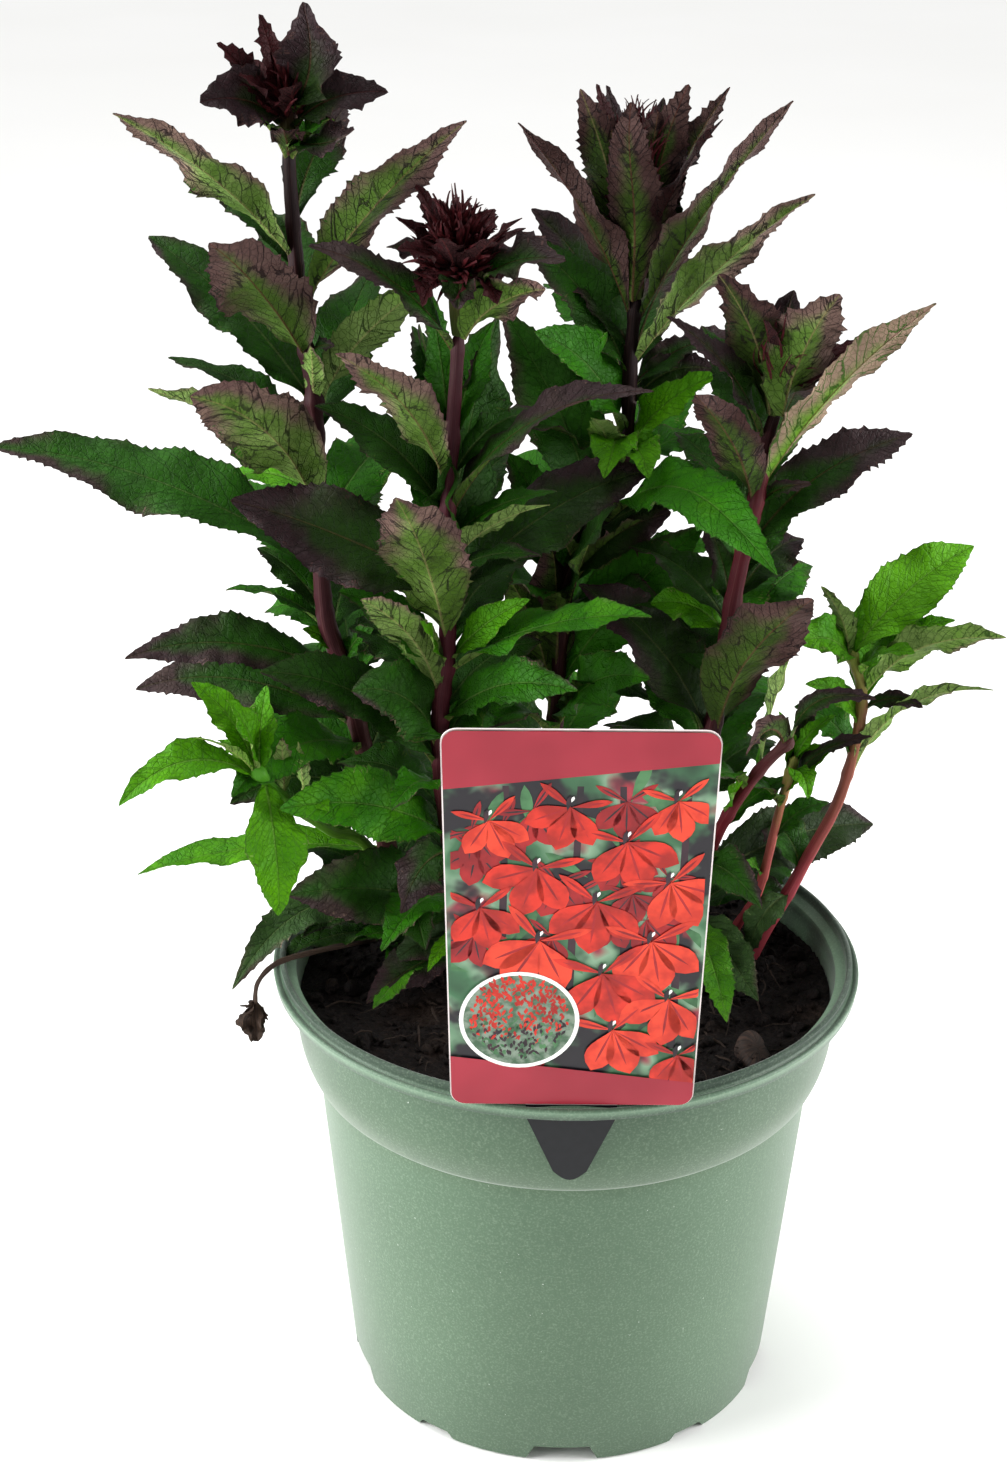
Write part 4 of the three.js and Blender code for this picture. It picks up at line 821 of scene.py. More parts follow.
def margin_wave(t, rng):
    slow, quick = rng.uniform(1.4, 2.6), rng.uniform(4, 7)
    first, second = rng.uniform(0, 1, 2)
    return np.sin(FULL_TURN * (slow * t + first)) + 0.35 * np.sin(FULL_TURN * (quick * t + second))


def both_sides(right, draw):
    """One draw for the points right of the midrib, and then one for those left of it."""
    first, second = draw(), draw()
    return np.where(right, first[:, None], second[:, None])


def blade_way(foot, tip, arch, roll, t, rng):
    """The blade's midline, and the directions across it and out of its upper face."""
    chord = tip - foot
    length = np.linalg.norm(chord)
    along = chord / length
    up = unit(np.array((0, 0, 1.0)) - along * along[2])
    sway = rng.uniform(-0.02, 0.02) * length
    centre = foot + t[:, None] * chord + up * (4 * arch * t * (1 - t))[:, None]
    centre = centre + np.cross(along, up) * (sway * np.sin(FULL_TURN * t) * t)[:, None]
    tangent = unit(np.gradient(centre, axis=0))
    turn = math.radians(roll) * np.minimum(1, t / TWIST_END) + rng.uniform(-0.18, 0.18) * t
    normal = turned(up, along, turn)
    normal = unit(normal - tangent * np.sum(normal * tangent, axis=1)[:, None])
    return centre, np.cross(normal, tangent), normal


def add_blade(gather, foot, tip, width, arch, roll, tone, rng, columns, tooth_depth, slots=(0, 1),
              fold=BLADE_FOLD, wave=BLADE_WAVE):
    """One toothed leaf blade: an upper face and an underside with its midrib, joined along the margin."""
    foot, tip = np.array(foot, float), np.array(tip, float)
    length = np.linalg.norm(tip - foot)
    teeth = max(LEAST_TEETH, int(length / TOOTH_SPACING))
    t = np.linspace(0, 1, 4 * teeth + 1)
    centre, side, normal = blade_way(foot, tip, arch, roll, t, rng)
    u = columns[None, :]
    size = np.abs(u)
    right = u > 0
    half = (width / 2 * blade_share(t))[:, None]
    wobble = both_sides(right, lambda: 1 + 0.05 * np.sin(rng.uniform(5, 9) * t + rng.uniform(0, 6)))
    teeth_grow = smooth_step(0.08, 0.3, t) * (1 - 0.6 * smooth_step(0.8, 1, t))
    margin = both_sides(right, lambda: toothed(teeth, tooth_depth, rng) * teeth_grow)
    ripple = both_sides(right, lambda: margin_wave(t, rng))
    curl = rng.uniform(0.0, LARGEST_CURL)

    t = t[:, None]
    across = np.sign(u) * (half * wobble * size + margin * smooth_step(0.7, 1, size))
    spacing = max(VEIN_SPACING, length / VEINS_ALONG)
    vein = (t * length - VEIN_SLANT * np.abs(across) - 0.3 * np.abs(across) * size) / spacing
    quilt = np.abs(np.sin(math.pi * vein)) ** 0.7 * smooth_step(0.02, 0.25, size)
    quilt = quilt * (1 - smooth_step(0.75, 1, size))
    height = half * (fold * size ** 1.25 - curl * size ** 4 + wave * ripple * size ** 2)
    height = height + QUILT_DEPTH * half * quilt
    upper = centre[:, None] + side[:, None] * across[..., None] + normal[:, None] * height[..., None]

    body = LEAF_THICKNESS * (1 - size ** 2) * (0.4 + 0.6 * (1 - t))
    rib_width = 0.35 + 0.55 * (1 - t)
    rib = min(1.1, 0.06 * width) * (1 - 0.8 * t) * np.exp(-((across / rib_width) ** 2))
    lower = upper - normal[:, None] * (body + rib)[..., None]

    place = stacked(u, t, rng.uniform(0, PATTERN_REACH))
    grain = stacked(across, t * length, vein)
    shade = np.array(tone) + [rng.uniform(-spread, spread) for spread in (0.08, 0.05, 0.05)]
    gather.add(upper, place, grain, shade, slots[0])
    gather.add(lower, place, grain, shade, slots[1], flip=True)


def add_leaf(gather, stem, row, sunk, rng, columns):
    """The leaf of a table row. It begins a share of the stem's radius out from the stem's middle."""
    joint, *tip, width, arch, roll, look = row
    curve = Curve(stem["path"])
    foot_radius, top_radius = stem["radius"]
    t = curve.parameter_at(joint)
    centre, along = curve.at(t), curve.along(t)
    outward = np.array(tip) - centre
    outward = unit(outward - along * (outward @ along))
    foot = centre + outward * sunk * (foot_radius + (top_radius - foot_radius) * t)
    tooth_depth = TEETH.get(look, TOOTH_DEPTH)
    add_blade(gather, foot, tip, width, arch, roll, TONES[look], rng, columns, tooth_depth)


def make_leaves(stem_name, stem, looks):
    for number, row in enumerate(stem["large"], 1):
        name = f"{stem_name}_{number:02d}"
        gather = Gather()
        add_leaf(gather, stem, row, LARGE_SUNK, rng_for(f"leaf_{name}"), WIDE_COLUMNS)
        place_on_root(gather.piece(f"blade_{name}", looks), LOOK_SLOTS[row[-1]], f"leaf_{name}")


def make_small_leaves(stem_name, stem, looks):
    gather = Gather()
    for number, row in enumerate(stem["small"] + stem["extra"]):
        add_leaf(gather, stem, row, SMALL_SUNK, rng_for(stem_name, "small", number), NARROW_COLUMNS)
    return gather.piece(f"small_leaves_{stem_name}", looks)


# Stems

def make_stem(stem_name, stem, material):
    steps = int((stem["path"][-1][2] - ROOT_Z) / STEM_STEP)
    t = np.linspace(0, 1, steps)
    points = Curve(stem["path"]).sampled(steps)
    heights = points[:, 2]
    foot, top = stem["radius"]
    radii = foot + (top - foot) * t
    for joint, *_ in stem["large"] + stem["small"]:
        radii = radii + JOINT_SWELL * np.exp(-(((heights - joint) / JOINT_REACH) ** 2))
    radii = radii * np.sqrt(np.clip(1.02 - smooth_step(0.975, 1, t) ** 2, 0, 1))
    rng = rng_for(stem_name, "stem")
    radii = radii * (1 + 0.02 * np.sin(heights * 0.7 + rng.uniform(0, 6)))
    grain = stacked(0, heights[:, None], 0)
    gather = Gather()
    grid, place = gather.add_tube(points, radii, STEM_SIDES, rng.uniform(0, PATTERN_REACH), grain=grain,
                                  ribs=STEM_RIBS, rib_depth=RIB_DEPTH, twist=STEM_TWIST)
    cap = np.array([np.broadcast_to(points[-1] + (0, 0, CAP_HEIGHT), grid[-1].shape), grid[-1]])
    gather.add(cap, place[-2:], grain[-2:], closed=True)
    return gather.piece(f"stalk_{stem_name}", [material])


# Bud heads

def add_strip(gather, foot, way, length, width, curl, rng):
    """A flat pointed strip that curls over towards its end: the calyx lobe of a closed bud."""
    t = np.linspace(0, 1, STRIP_ROWS)
    aside = unit(np.cross(way, rng.normal(size=3)))
    over = np.cross(aside, way)
    bend = curl * t ** 2
    points = foot + way * (length * t * (1 - 0.25 * np.abs(bend)))[:, None]
    points = points + over * (0.55 * length * bend)[:, None]
    half = width / 2 * (1 - t) ** 0.7 * (0.6 + 0.9 * np.sin(math.pi * t)) + 0.04
    trough = over * (0.25 * width)
    edge = aside * half[:, None]
    grid = np.stack([points - edge + trough, points, points + edge + trough], axis=1)
    place = stacked(np.array((0, 0.5, 1)), t[:, None], rng.uniform(0, PATTERN_REACH))
    thick = np.cross(way, aside) * STRIP_THICKNESS
    gather.add(grid, place, slot=BUD_SLOT)
    gather.add(grid + thick, place, slot=BUD_SLOT, flip=True)


def add_strips(gather, foot, strips, rng):
    """The crowded strips of a head's closed buds, spread evenly round it from the top down."""
    count, (low, high), reach, (first_lean, last_lean), lengths, width = strips
    for number in range(count):
        share = (number + 0.5) / count
        lean = math.radians(first_lean + (last_lean - first_lean) * share ** 0.7)
        angle = number * GOLDEN_ANGLE + rng.uniform(-0.3, 0.3)
        out = np.array((math.cos(angle), math.sin(angle), 0))
        way = unit(out * math.sin(lean) + np.array((0, 0, math.cos(lean))))
        start = np.array((*foot[:2], high + (low - high) * share)) + out * reach * share ** 0.5
        length = rng.uniform(*lengths)
        add_strip(gather, start, unit(way + rng.normal(size=3) * 0.14), length,
                  width * rng.uniform(0.7, 1.3), rng.uniform(-0.9, 0.9), rng)


def make_head(head_name, head, materials):
    """A bud head: its short receptacle on the stalk, the bracts round it and the crowded strips inside."""
    gather = Gather()
    foot = np.array(head["foot"], float)
    height, radius = head["core"]
    t = np.linspace(0, 1, CORE_ROWS)
    core = foot + np.array((0, 0, 1.0)) * (height * t)[:, None]
    radii = radius * np.sin(math.pi * np.clip(0.2 + 0.78 * t, 0, 1)) ** 0.7 + 0.05
    gather.add_tube(core, radii, CORE_SIDES, CORE_SEED, slot=CORE_SLOT, ribs=CORE_RIBS, rib_depth=0.12)
    for number, row in enumerate(head["bracts"]):
        *tip, width, arch, roll, look = row[3:]
        add_blade(gather, row[:3], tip, width, arch, roll, TONES[look], rng_for(head_name, number),
                  NARROW_COLUMNS, BRACT_TOOTH, fold=BRACT_FOLD, wave=BRACT_WAVE)
    add_strips(gather, foot, head["strips"], rng_for(head_name, "head"))
    return gather.piece(f"head_{head_name}", materials)


# Node graphs

def colour(code):
    """A hexadecimal screen colour as linear light."""
    channels = [int(code[i:i + 2], 16) / 255 for i in (1, 3, 5)]
    return tuple(c / 12.92 if c <= 0.04045 else ((c + 0.055) / 1.055) ** 2.4 for c in channels) + (1.0,)


class Graph:
    """A material's nodes, written as calls. An input takes a socket, a plain value or a colour's code."""

    def __init__(self, name):
        self.material = bpy.data.materials.new(name)
        self.material.use_nodes = True
        self.tree = self.material.node_tree
        self.tree.nodes.clear()
        self.output = self.node("OutputMaterial")

    def node(self, kind, inputs=(), **settings):
        """A new node, with its inputs in their order or by their names. None leaves an input as it is."""
        node = self.tree.nodes.new(f"ShaderNode{kind}")
        for name, setting in settings.items():
            setattr(node, name, setting)
        for key, value in inputs.items() if isinstance(inputs, dict) else enumerate(inputs):
            if isinstance(value, bpy.types.NodeSocket):
                self.tree.links.new(value, node.inputs[key])
            elif value is not None:
                node.inputs[key].default_value = colour(value) if isinstance(value, str) else value
        return node

    def read(self, name):
        """The three numbers of a vector that is stored with each point."""
        return self.split(self.node("Attribute", attribute_name=name).outputs["Vector"])

    def split(self, vector):
        return self.node("SeparateXYZ", [vector]).outputs

    def join(self, x, y, z=0.0):
        return self.node("CombineXYZ", (x, y, z)).outputs[0]

    def objects(self):
        return self.node("TexCoord").outputs["Object"]

    def math(self, kind, *values):
        return self.node("Math", values, operation=kind).outputs[0]

    def times(self, a, b):
        return self.math("MULTIPLY", a, b)

    def plus(self, a, b):
        return self.math("ADD", a, b)

    def minus(self, a, b):
        return self.math("SUBTRACT", a, b)

    def times_plus(self, a, b, c):
        return self.math("MULTIPLY_ADD", a, b, c)

    def shaken(self, base, noise, reach):
        """base and a noise about its middle, times reach."""
        return self.times_plus(self.minus(noise, 0.5), reach, base)

    def sum_of(self, *weighed):
        """Sockets, each given with its weight."""
        total = 0.0
        for socket, weight in weighed:
            total = self.times_plus(socket, weight, total)
        return total

    def scaled(self, vector, factors):
        return self.node("VectorMath", (vector, factors), operation="MULTIPLY").outputs[0]

    def step(self, x, low, high):
        """0 below low and 1 above high, with a smooth way between them."""
        return self.node("MapRange", (x, low, high), interpolation_type="SMOOTHSTEP").outputs["Result"]

    def fall(self, x, low, high):
        return self.minus(1.0, self.step(x, low, high))

    def noise(self, vector, scale, detail=3.0, rough=0.55):
        inputs = {"Vector": vector, "Scale": scale, "Detail": detail, "Roughness": rough}
        return self.node("TexNoise", inputs).outputs["Fac"]

    def cells(self, vector, scale, feature="DISTANCE_TO_EDGE"):
        inputs = {"Vector": vector, "Scale": scale}
        return self.node("TexVoronoi", inputs, feature=feature).outputs["Distance"]

    def ramp(self, x, *stops):
        node = self.node("ValToRGB", [x])
        elements = node.color_ramp.elements
        while len(elements) < len(stops):
            elements.new(0.5)
        for element, (place, code) in zip(elements, stops):
            element.position = place
            element.color = colour(code)
        return node.outputs["Color"]

    def mix(self, share, a, b):
        return self.node("Mix", {"Factor": share, "A": a, "B": b}, data_type="RGBA").outputs["Result"]

    def tint(self, base, part, share, other):
        """base turned towards another colour where part is, by a share."""
        return self.mix(self.times(part, share), base, other)

    def bump(self, height, distance, strength):
        inputs = {"Strength": strength, "Distance": distance, "Height": height}
        return self.node("Bump", inputs).outputs[0]

    def surface(self, base, roughness, normal, specular, through=0.0, through_colour=None, **more):
        """The finished surface. through is the share of light that passes as through a leaf."""
        last = self.node("BsdfPrincipled", {
            "Base Color": base, "Roughness": roughness, "Normal": normal, "Specular IOR Level": specular,
            **{name.replace("_", " ").title(): value for name, value in more.items()},
        }).outputs[0]
        if through:
            glow = self.node("BsdfTranslucent", {"Color": through_colour, "Normal": normal}).outputs[0]
            last = self.node("MixShader", (through, last, glow)).outputs[0]
        self.tree.links.new(last, self.output.inputs["Surface"])
        return self.material


# Leaf materials

def leaf_parts(g, edge_share):
    """What both faces of a leaf read: where the point is, its veins and how purple it is there."""
    across, along, seed = g.read("place")
    x, y, vein = g.read("grain")
    purple_start, light, grey = g.read("tone")
    own = g.join(x, y, g.times(seed, 7.3))
    cloud = g.noise(own, 0.09)
    mottle = g.noise(own, 0.3)
    fine = g.noise(own, 0.9)
    size = g.math("ABSOLUTE", across)
    reach_out = g.math("ABSOLUTE", x)
    stray = g.times(g.minus(mottle, 0.5), 0.55)
    webbed = g.join(g.shaken(g.plus(vein, stray), fine, 0.18), g.times_plus(reach_out, 0.13, stray), seed)
    width = g.times(mottle, 0.09)
    lateral = g.fall(g.cells(webbed, 1.0), g.times(width, 0.3), width)
    rib_half = g.times_plus(along, -0.4, 0.6)
    reach = g.times_plus(g.minus(size, 0.45), edge_share, along)
    reach = g.shaken(g.times_plus(across, 0.13, reach), cloud, 1.1)
    return SimpleNamespace(
        along=along, cloud=cloud, mottle=mottle, fine=fine, light=light, grey=grey,
        lateral=g.times(lateral, g.step(cloud, 0.25, 0.5)),
        net=g.fall(g.cells(own, 0.62), 0.0, 0.1),
        rib=g.fall(reach_out, g.times(rib_half, 0.3), rib_half),
        rust=g.fall(purple_start, 0.4, 0.75),
        purple=g.step(reach, g.minus(purple_start, 0.22), g.plus(purple_start, 0.3)),
        margin=g.step(size, 0.93, 1.0),
    )


def leaf_upper():
    """The upper face: satin green with dusky purple towards the tip and margins, and faint sunken veins."""
    g = Graph("leaf_upper")
    part = leaf_parts(g, 0.45)
    patch = g.shaken(g.shaken(part.light, part.cloud, 0.45), part.mottle, 0.12)
    green = g.ramp(patch, (0.0, "#0d1502"), (0.28, "#173001"), (0.5, "#1d4a01"), (0.7, "#2a6a00"),
                   (1.0, "#529400"))
    dusk = g.ramp(patch, (0.0, "#3a0f15"), (0.22, "#26121a"), (0.5, "#36222a"), (0.85, "#4c3438"))
    green = g.tint(green, part.grey, 0.75, "#363f2e")
    base = g.tint(green, part.purple, 0.92, dusk)
    paler = g.mix(part.rust, g.mix(0.3, base, "#8a9a5c"), "#4a1e1c")
    base = g.tint(base, part.rib, g.times_plus(part.along, -0.5, 0.75), paler)
    base = g.tint(base, part.lateral, 0.42, g.mix(0.6, base, "#0a0f06"))
    base = g.tint(base, part.net, 0.12, "#0c140a")
    base = g.tint(base, part.margin, 0.75, g.mix(0.7, base, "#1e0e12"))
    height = g.sum_of((part.fine, 0.5), (part.lateral, -0.6), (part.net, -0.3), (part.mottle, 1.2),
                      (part.rib, -0.8))
    glow = g.mix(part.purple, g.mix(0.5, green, "#4f8a08"), "#3a1c1c")
    return g.surface(base, g.times_plus(part.fine, 0.22, 0.44), g.bump(height, 0.00055, 0.9), 0.13,
                     through=0.16, through_colour=glow)


def leaf_under():
    """The underside: greyer and matt, with a raised irregular web of dark veins and a dusky pink margin."""
    g = Graph("leaf_under")
    part = leaf_parts(g, 0.8)
    patch = g.shaken(g.shaken(part.light, part.cloud, 0.6), part.mottle, 0.15)
    pale = g.ramp(patch, (0.0, "#1e2e0e"), (0.35, "#344c12"), (0.6, "#486620"), (0.8, "#6e8844"),
                  (1.0, "#659428"))
    pink = g.ramp(patch, (0.0, "#34101a"), (0.3, "#42202a"), (0.6, "#624048"), (1.0, "#8e6c68"))
    base = g.tint(pale, part.purple, 0.85, pink)
    base = g.tint(base, part.grey, 0.4, "#56604e")
    dark = g.mix(g.step(part.light, 0.75, 0.95), "#1b1012", "#2f5a12")
    base = g.tint(base, part.net, 0.3, dark)
    base = g.tint(base, part.lateral, 0.85, dark)
    base = g.tint(base, part.rib, 0.7, g.mix(part.rust, g.mix(0.45, base, "#a89a68"), "#4e2020"))
    base = g.tint(base, part.margin, 0.7, g.mix(0.55, base, "#3a2024"))
    height = g.sum_of((part.fine, 0.5), (part.lateral, 0.9), (part.net, 0.4), (part.mottle, 1.4))
    glow = g.mix(part.purple, g.mix(0.5, pale, "#5f9a10"), "#3a1c1c")
    return g.surface(base, g.times_plus(part.fine, 0.2, 0.58), g.bump(height, 0.00045, 0.9), 0.12,
                     through=0.14, through_colour=glow)


def bud_material():
    """Buds and calyx hairs: dark maroon, redder along their ribs and towards their tips."""
    g = Graph("bud_maroon")
    angle, along, seed = g.read("place")
    own = g.join(g.times(angle, 3.0), g.times(along, 4.0), seed)
    cloud = g.noise(own, 1.6)
    base = g.ramp(cloud, (0.25, "#260c0e"), (0.5, "#481418"), (0.75, "#6a2228"))
    base = g.mix(g.step(along, 0.55, 1.0), base, "#3e181c")
    streak = g.noise(g.scaled(own, (9.0, 0.7, 1.0)), 1.0, 2)
    return g.surface(base, g.times_plus(cloud, 0.3, 0.35), g.bump(streak, 0.0003, 0.7), 0.18)


def stem_material(stem_name, codes):
    """A ribbed stem: its colour runs from the compost to the top, with long fine streaks."""
    g = Graph(f"stem_{stem_name}")
    angle, along, seed = g.read("place")
    circle = g.times(angle, FULL_TURN)
    x, y = g.math("COSINE", circle), g.math("SINE", circle)
    cloud = g.noise(g.join(x, y, g.times_plus(along, 18.0, seed)), 0.9)
    base = g.ramp(g.shaken(along, cloud, 0.3), *zip((0.1, 0.38, 0.68, 0.95), codes))
    streak = g.noise(g.join(g.times(x, 6), g.times(y, 6), g.times(along, 5)), 1.2)
    base = g.tint(base, g.step(streak, 0.52, 0.72), 0.4, g.mix(0.22, base, "#a87c70"))
    base = g.tint(base, g.step(streak, 0.5, 0.3), 0.4, g.mix(0.6, base, "#12080a"))
    height = g.sum_of((cloud, 0.4), (streak, 1.0))
    return g.surface(base, g.times_plus(cloud, 0.25, 0.4), g.bump(height, 0.0003, 0.7), 0.13)


# Pot

def arc_points(centre, radius, start, end, count):
    """Points along an arc in the r, z plane, from one angle to another in degrees."""
    angles = [math.radians(start + (end - start) * i / count) for i in range(count + 1)]
    return [(centre[0] + radius * math.cos(a), centre[1] + radius * math.sin(a)) for a in angles]


def pot_outside():
    """The pot's section from the middle of its floor, up the outside and round the beaded lip."""
    lip_foot = POT_HEIGHT - LIP_HEIGHT
    foot_inside = BASE_RADIUS - FOOT_WIDTH
    outline = [(AXIS_GAP, 0), (BOSS_RADIUS, 0), (BOSS_RADIUS + BOSS_SLOPE, FLOOR_Z)]
    outline += [(foot_inside - 1, FLOOR_Z), (foot_inside, 0.4), (foot_inside + 0.4, 0)]
    outline += [(BASE_RADIUS - 0.5, 0), (BASE_RADIUS, 0.5)]
    for share in np.linspace(0.05, 0.99, 14):
        outline.append((BASE_RADIUS + (COLLAR_RADIUS - BASE_RADIUS) * share, COLLAR_Z * share))
    neck = Curve([(COLLAR_RADIUS, COLLAR_Z), *NECK, (NECK_RADIUS, lip_foot - 0.6)])
    outline += [tuple(point) for point in neck.sampled(24)]
    outline += [(NECK_RADIUS + 0.3, lip_foot + 0.4), (NECK_RADIUS + 1.4, lip_foot + 0.5)]
    outline += [(LIP_RADIUS - 1.2, lip_foot - 0.2), (LIP_RADIUS - 0.6, lip_foot)]
    outline.append((LIP_RADIUS - 0.35, lip_foot + 0.5))
    outline += arc_points((LIP_RADIUS - BEAD_RADIUS, BEAD_Z), BEAD_RADIUS, -40, 130, 9)
    for inwards, up in ((1.7, 0.25), (2.0, 0.5), (2.25, 1.0)):
        outline.append((LIP_RADIUS - inwards, BEAD_Z + up))
    return outline


def pot_inside():
    """The section from the lip's top, down the inside to the boss in the middle of the floor."""
    lip_foot = POT_HEIGHT - LIP_HEIGHT
    inner_lip = LIP_INSIDE + LIP_ROUND
    wall_top = NECK_RADIUS - POT_WALL
    outline = [(inner_lip + 0.9, POT_HEIGHT - 0.5)]
    outline += arc_points((inner_lip, POT_HEIGHT - LIP_ROUND), LIP_ROUND, 60, 180, 7)
    outline += [(LIP_INSIDE, POT_HEIGHT - 2.4), (LIP_INSIDE - 0.2, POT_HEIGHT - 2.9)]
    outline += [(wall_top + 0.4, lip_foot + 2.0), (wall_top, lip_foot - 1)]
    outline += [(r - POT_WALL, z) for r, z in reversed(NECK)]
    outline += [(COLLAR_RADIUS - POT_WALL, COLLAR_Z), (BASE_RADIUS - POT_WALL, FLOOR_TOP)]
    outline += [(BOSS_RADIUS + BOSS_SLOPE, FLOOR_TOP), (BOSS_RADIUS - BOSS_SLOPE, BOSS_TOP)]
    return outline + [(AXIS_GAP, BOSS_TOP)]


def block_object(name, corners):
    """A closed block from eight corners: four below and four above, both counted anticlockwise."""
    mesh = bpy.data.meshes.new(name)
    faces = [(3, 2, 1, 0), (4, 5, 6, 7)] + [(i, (i + 1) % 4, (i + 1) % 4 + 4, i + 4) for i in range(4)]
    mesh.from_pydata([tuple(c * MM for c in corner) for corner in corners], [], faces)
    return in_scene(name, mesh)


def notch_cutter(angle, size):
    """A notch with slanted sides, from inside the foot ring to outside the pot."""
    width, height = size
    cos, sin = math.cos(angle), math.sin(angle)
    corners = []
    for z, half in ((-1, width / 2), (height, width / 2 - NOTCH_SLANT)):
        for side, end in SQUARE:
            x = side * half
            y = -(BASE_RADIUS - NOTCH_INSIDE if end > 0 else BASE_RADIUS + NOTCH_OUTSIDE)
            corners.append((x * cos - y * sin, x * sin + y * cos, z))
    return block_object("notch", corners)


def drain_cutter(angle):
    x, y = DRAIN_CIRCLE * math.sin(angle), -DRAIN_CIRCLE * math.cos(angle)
    bpy.ops.mesh.primitive_cylinder_add(vertices=32, radius=DRAIN_RADIUS * MM, depth=3 * FLOOR_TOP * MM,
                                        location=(x * MM, y * MM, FLOOR_TOP * MM))
    return bpy.context.object


def slot_cutter():
    """The slot in the lip that the label's tongue hangs through, leaning as the label does."""
    width, depth = SLOT_SIZE
    corners = []
    for z in (-SLOT_REACH, SLOT_REACH):
        middle = LABEL_Y - z * math.tan(LABEL_LEAN)
        corners += [(x * width / 2, middle + y * depth / 2, POT_HEIGHT + z) for x, y in SQUARE]
    return block_object("slot", corners)


def cut_from(target, cutters):
    """Cuts the cutters out of the target and removes them."""
    for cutter in cutters:
        cut = target.modifiers.new("cut", "BOOLEAN")
        cut.operation = "DIFFERENCE"
        cut.solver = "EXACT"
        cut.object = cutter
    depsgraph = bpy.context.evaluated_depsgraph_get()
    whole = bpy.data.meshes.new_from_object(target.evaluated_get(depsgraph))
    target.modifiers.clear()
    target.data = whole
    for cutter in cutters:
        bpy.data.objects.remove(cutter)


def pot_material():
    """Moulded sage plastic: fine flow lines up the wall, faint scuffs, painted shade under and inside the
    lip.
    """
    g = Graph("pot_plastic")
    place = g.objects()
    x, y, z = g.split(place)
    angle = g.math("ARCTAN2", x, g.times(y, -1.0))
    high = g.math("DIVIDE", z, POT_HEIGHT * MM)
    cloud = g.noise(place, 14, 4)
    flow = g.noise(g.join(g.times(angle, 40), g.times(high, 3)), 1.0)
    # Height ramp: painted shade on the flaring neck, a painted shadow line under the lip, a painted highlight
    # on the bead, and painted shade over the lip's top and down inside it.
    base = g.ramp(high, (0.0, "#465c47"), (0.3, "#486049"), (0.7, "#455e47"), (0.755, "#40573f"),
                  (0.94, "#384f3b"), (0.958, "#1c3023"), (0.972, "#607d64"), (0.985, "#12241a"),
                  (1.0, "#14271c"))
    base = g.tint(base, g.minus(cloud, 0.3), 0.25, "#7c9a7e")
    base = g.tint(base, g.step(flow, 0.55, 0.8), 0.12, "#4f7054")
    grain = g.noise(place, 1600, 2)
    base = g.tint(base, g.step(grain, 0.45, 0.75), 0.16, "#a9c2a6")
    base = g.tint(base, g.step(grain, 0.5, 0.25), 0.14, "#3d5f42")
    base = g.tint(base, g.step(g.noise(place, 700, 2), 0.76, 0.79), 0.55, "#dfe6dc")
    scuff = g.noise(g.scaled(place, (900, 900, 60)), 1.0)
    height = g.sum_of((scuff, 0.12), (flow, 0.35), (grain, 0.25))
    return g.surface(base, g.times_plus(cloud, 0.18, 0.36), g.bump(height, 0.00018, 0.5), 0.3,
                     through=0.05, through_colour="#7fae80", sheen_weight=0.35, sheen_roughness=0.4)


def make_pot():
    gather = Gather()
    gather.add(ring_grid(pot_outside() + pot_inside(), POT_SIDES), closed=True, flip=True)
    pot = gather.piece("nursery_pot", [pot_material()])
    bm = bmesh.new()
    bm.from_mesh(pot.data)
    bmesh.ops.holes_fill(bm, edges=[e for e in bm.edges if e.is_boundary], sides=0)
    bm.to_mesh(pot.data)
    bm.free()
    cutters = [slot_cutter()]
    for number in range(NOTCH_COUNT):
        turn = number / NOTCH_COUNT * FULL_TURN
        cutters += [notch_cutter(turn, NOTCH_SIZE), drain_cutter(turn)]
        cutters.append(notch_cutter(turn + math.pi / NOTCH_COUNT, SMALL_NOTCH_SIZE))
    cut_from(pot, cutters)
    pot.data.set_sharp_from_angle(angle=POT_SHARP)
    place_on_root(pot, "pot_plastic", "pot")


# Compost

def hills(x, y, rng):
    """A rough height over the plane: clods as round bumps and pits of many sizes."""
    height = 1.2 * np.sin(0.11 * x + 1) * np.cos(0.13 * y - 0.6)
    for _ in range(HILL_COUNT):
        cx, cy = rng.uniform(-HILL_REACH, HILL_REACH, 2)
        size = rng.uniform(3, 11)
        height = height + rng.uniform(-1.0, 1.1) * np.exp(-((x - cx) ** 2 + (y - cy) ** 2) / size ** 2)
    return height


def crumbs_height(x, y):
    """Fine crumb relief from a few crossed waves."""
    fine = np.sin(1.9 * x + 1.3 * np.sin(0.7 * y)) * np.sin(2.1 * y + 1.1 * np.sin(0.9 * x))
    finer = np.sin(4.3 * x + 2.0 * np.sin(1.7 * y)) * np.sin(3.9 * y + 1.7 * np.sin(2.2 * x))
    return 0.35 * fine + 0.22 * finer


def soil_height(x, y):
    return SOIL_TOP + hills(x, y, rng_for("soil", "hills")) + crumbs_height(x, y)


def soil_material():
    """Damp peat: near black with brown crumbs, and duller where it is dry."""
    g = Graph("compost")
    place = g.objects()
    cloud = g.noise(place, 45, 4)
    crumb = g.cells(place, 420, "F1")
    fine = g.noise(place, 900, 4, 0.7)
    base = g.ramp(fine, (0.3, "#060404"), (0.5, "#0f0a09"), (0.68, "#1e1612"), (0.8, "#3c2b20"))
    base = g.mix(g.step(cloud, 0.5, 0.75), base, g.mix(0.3, base, "#3c2c22"))
    height = g.sum_of((crumb, 1.5), (fine, 1.0))
    return g.surface(base, g.times_plus(fine, 0.3, 0.62), g.bump(height, 0.0012, 1.0), 0.12)


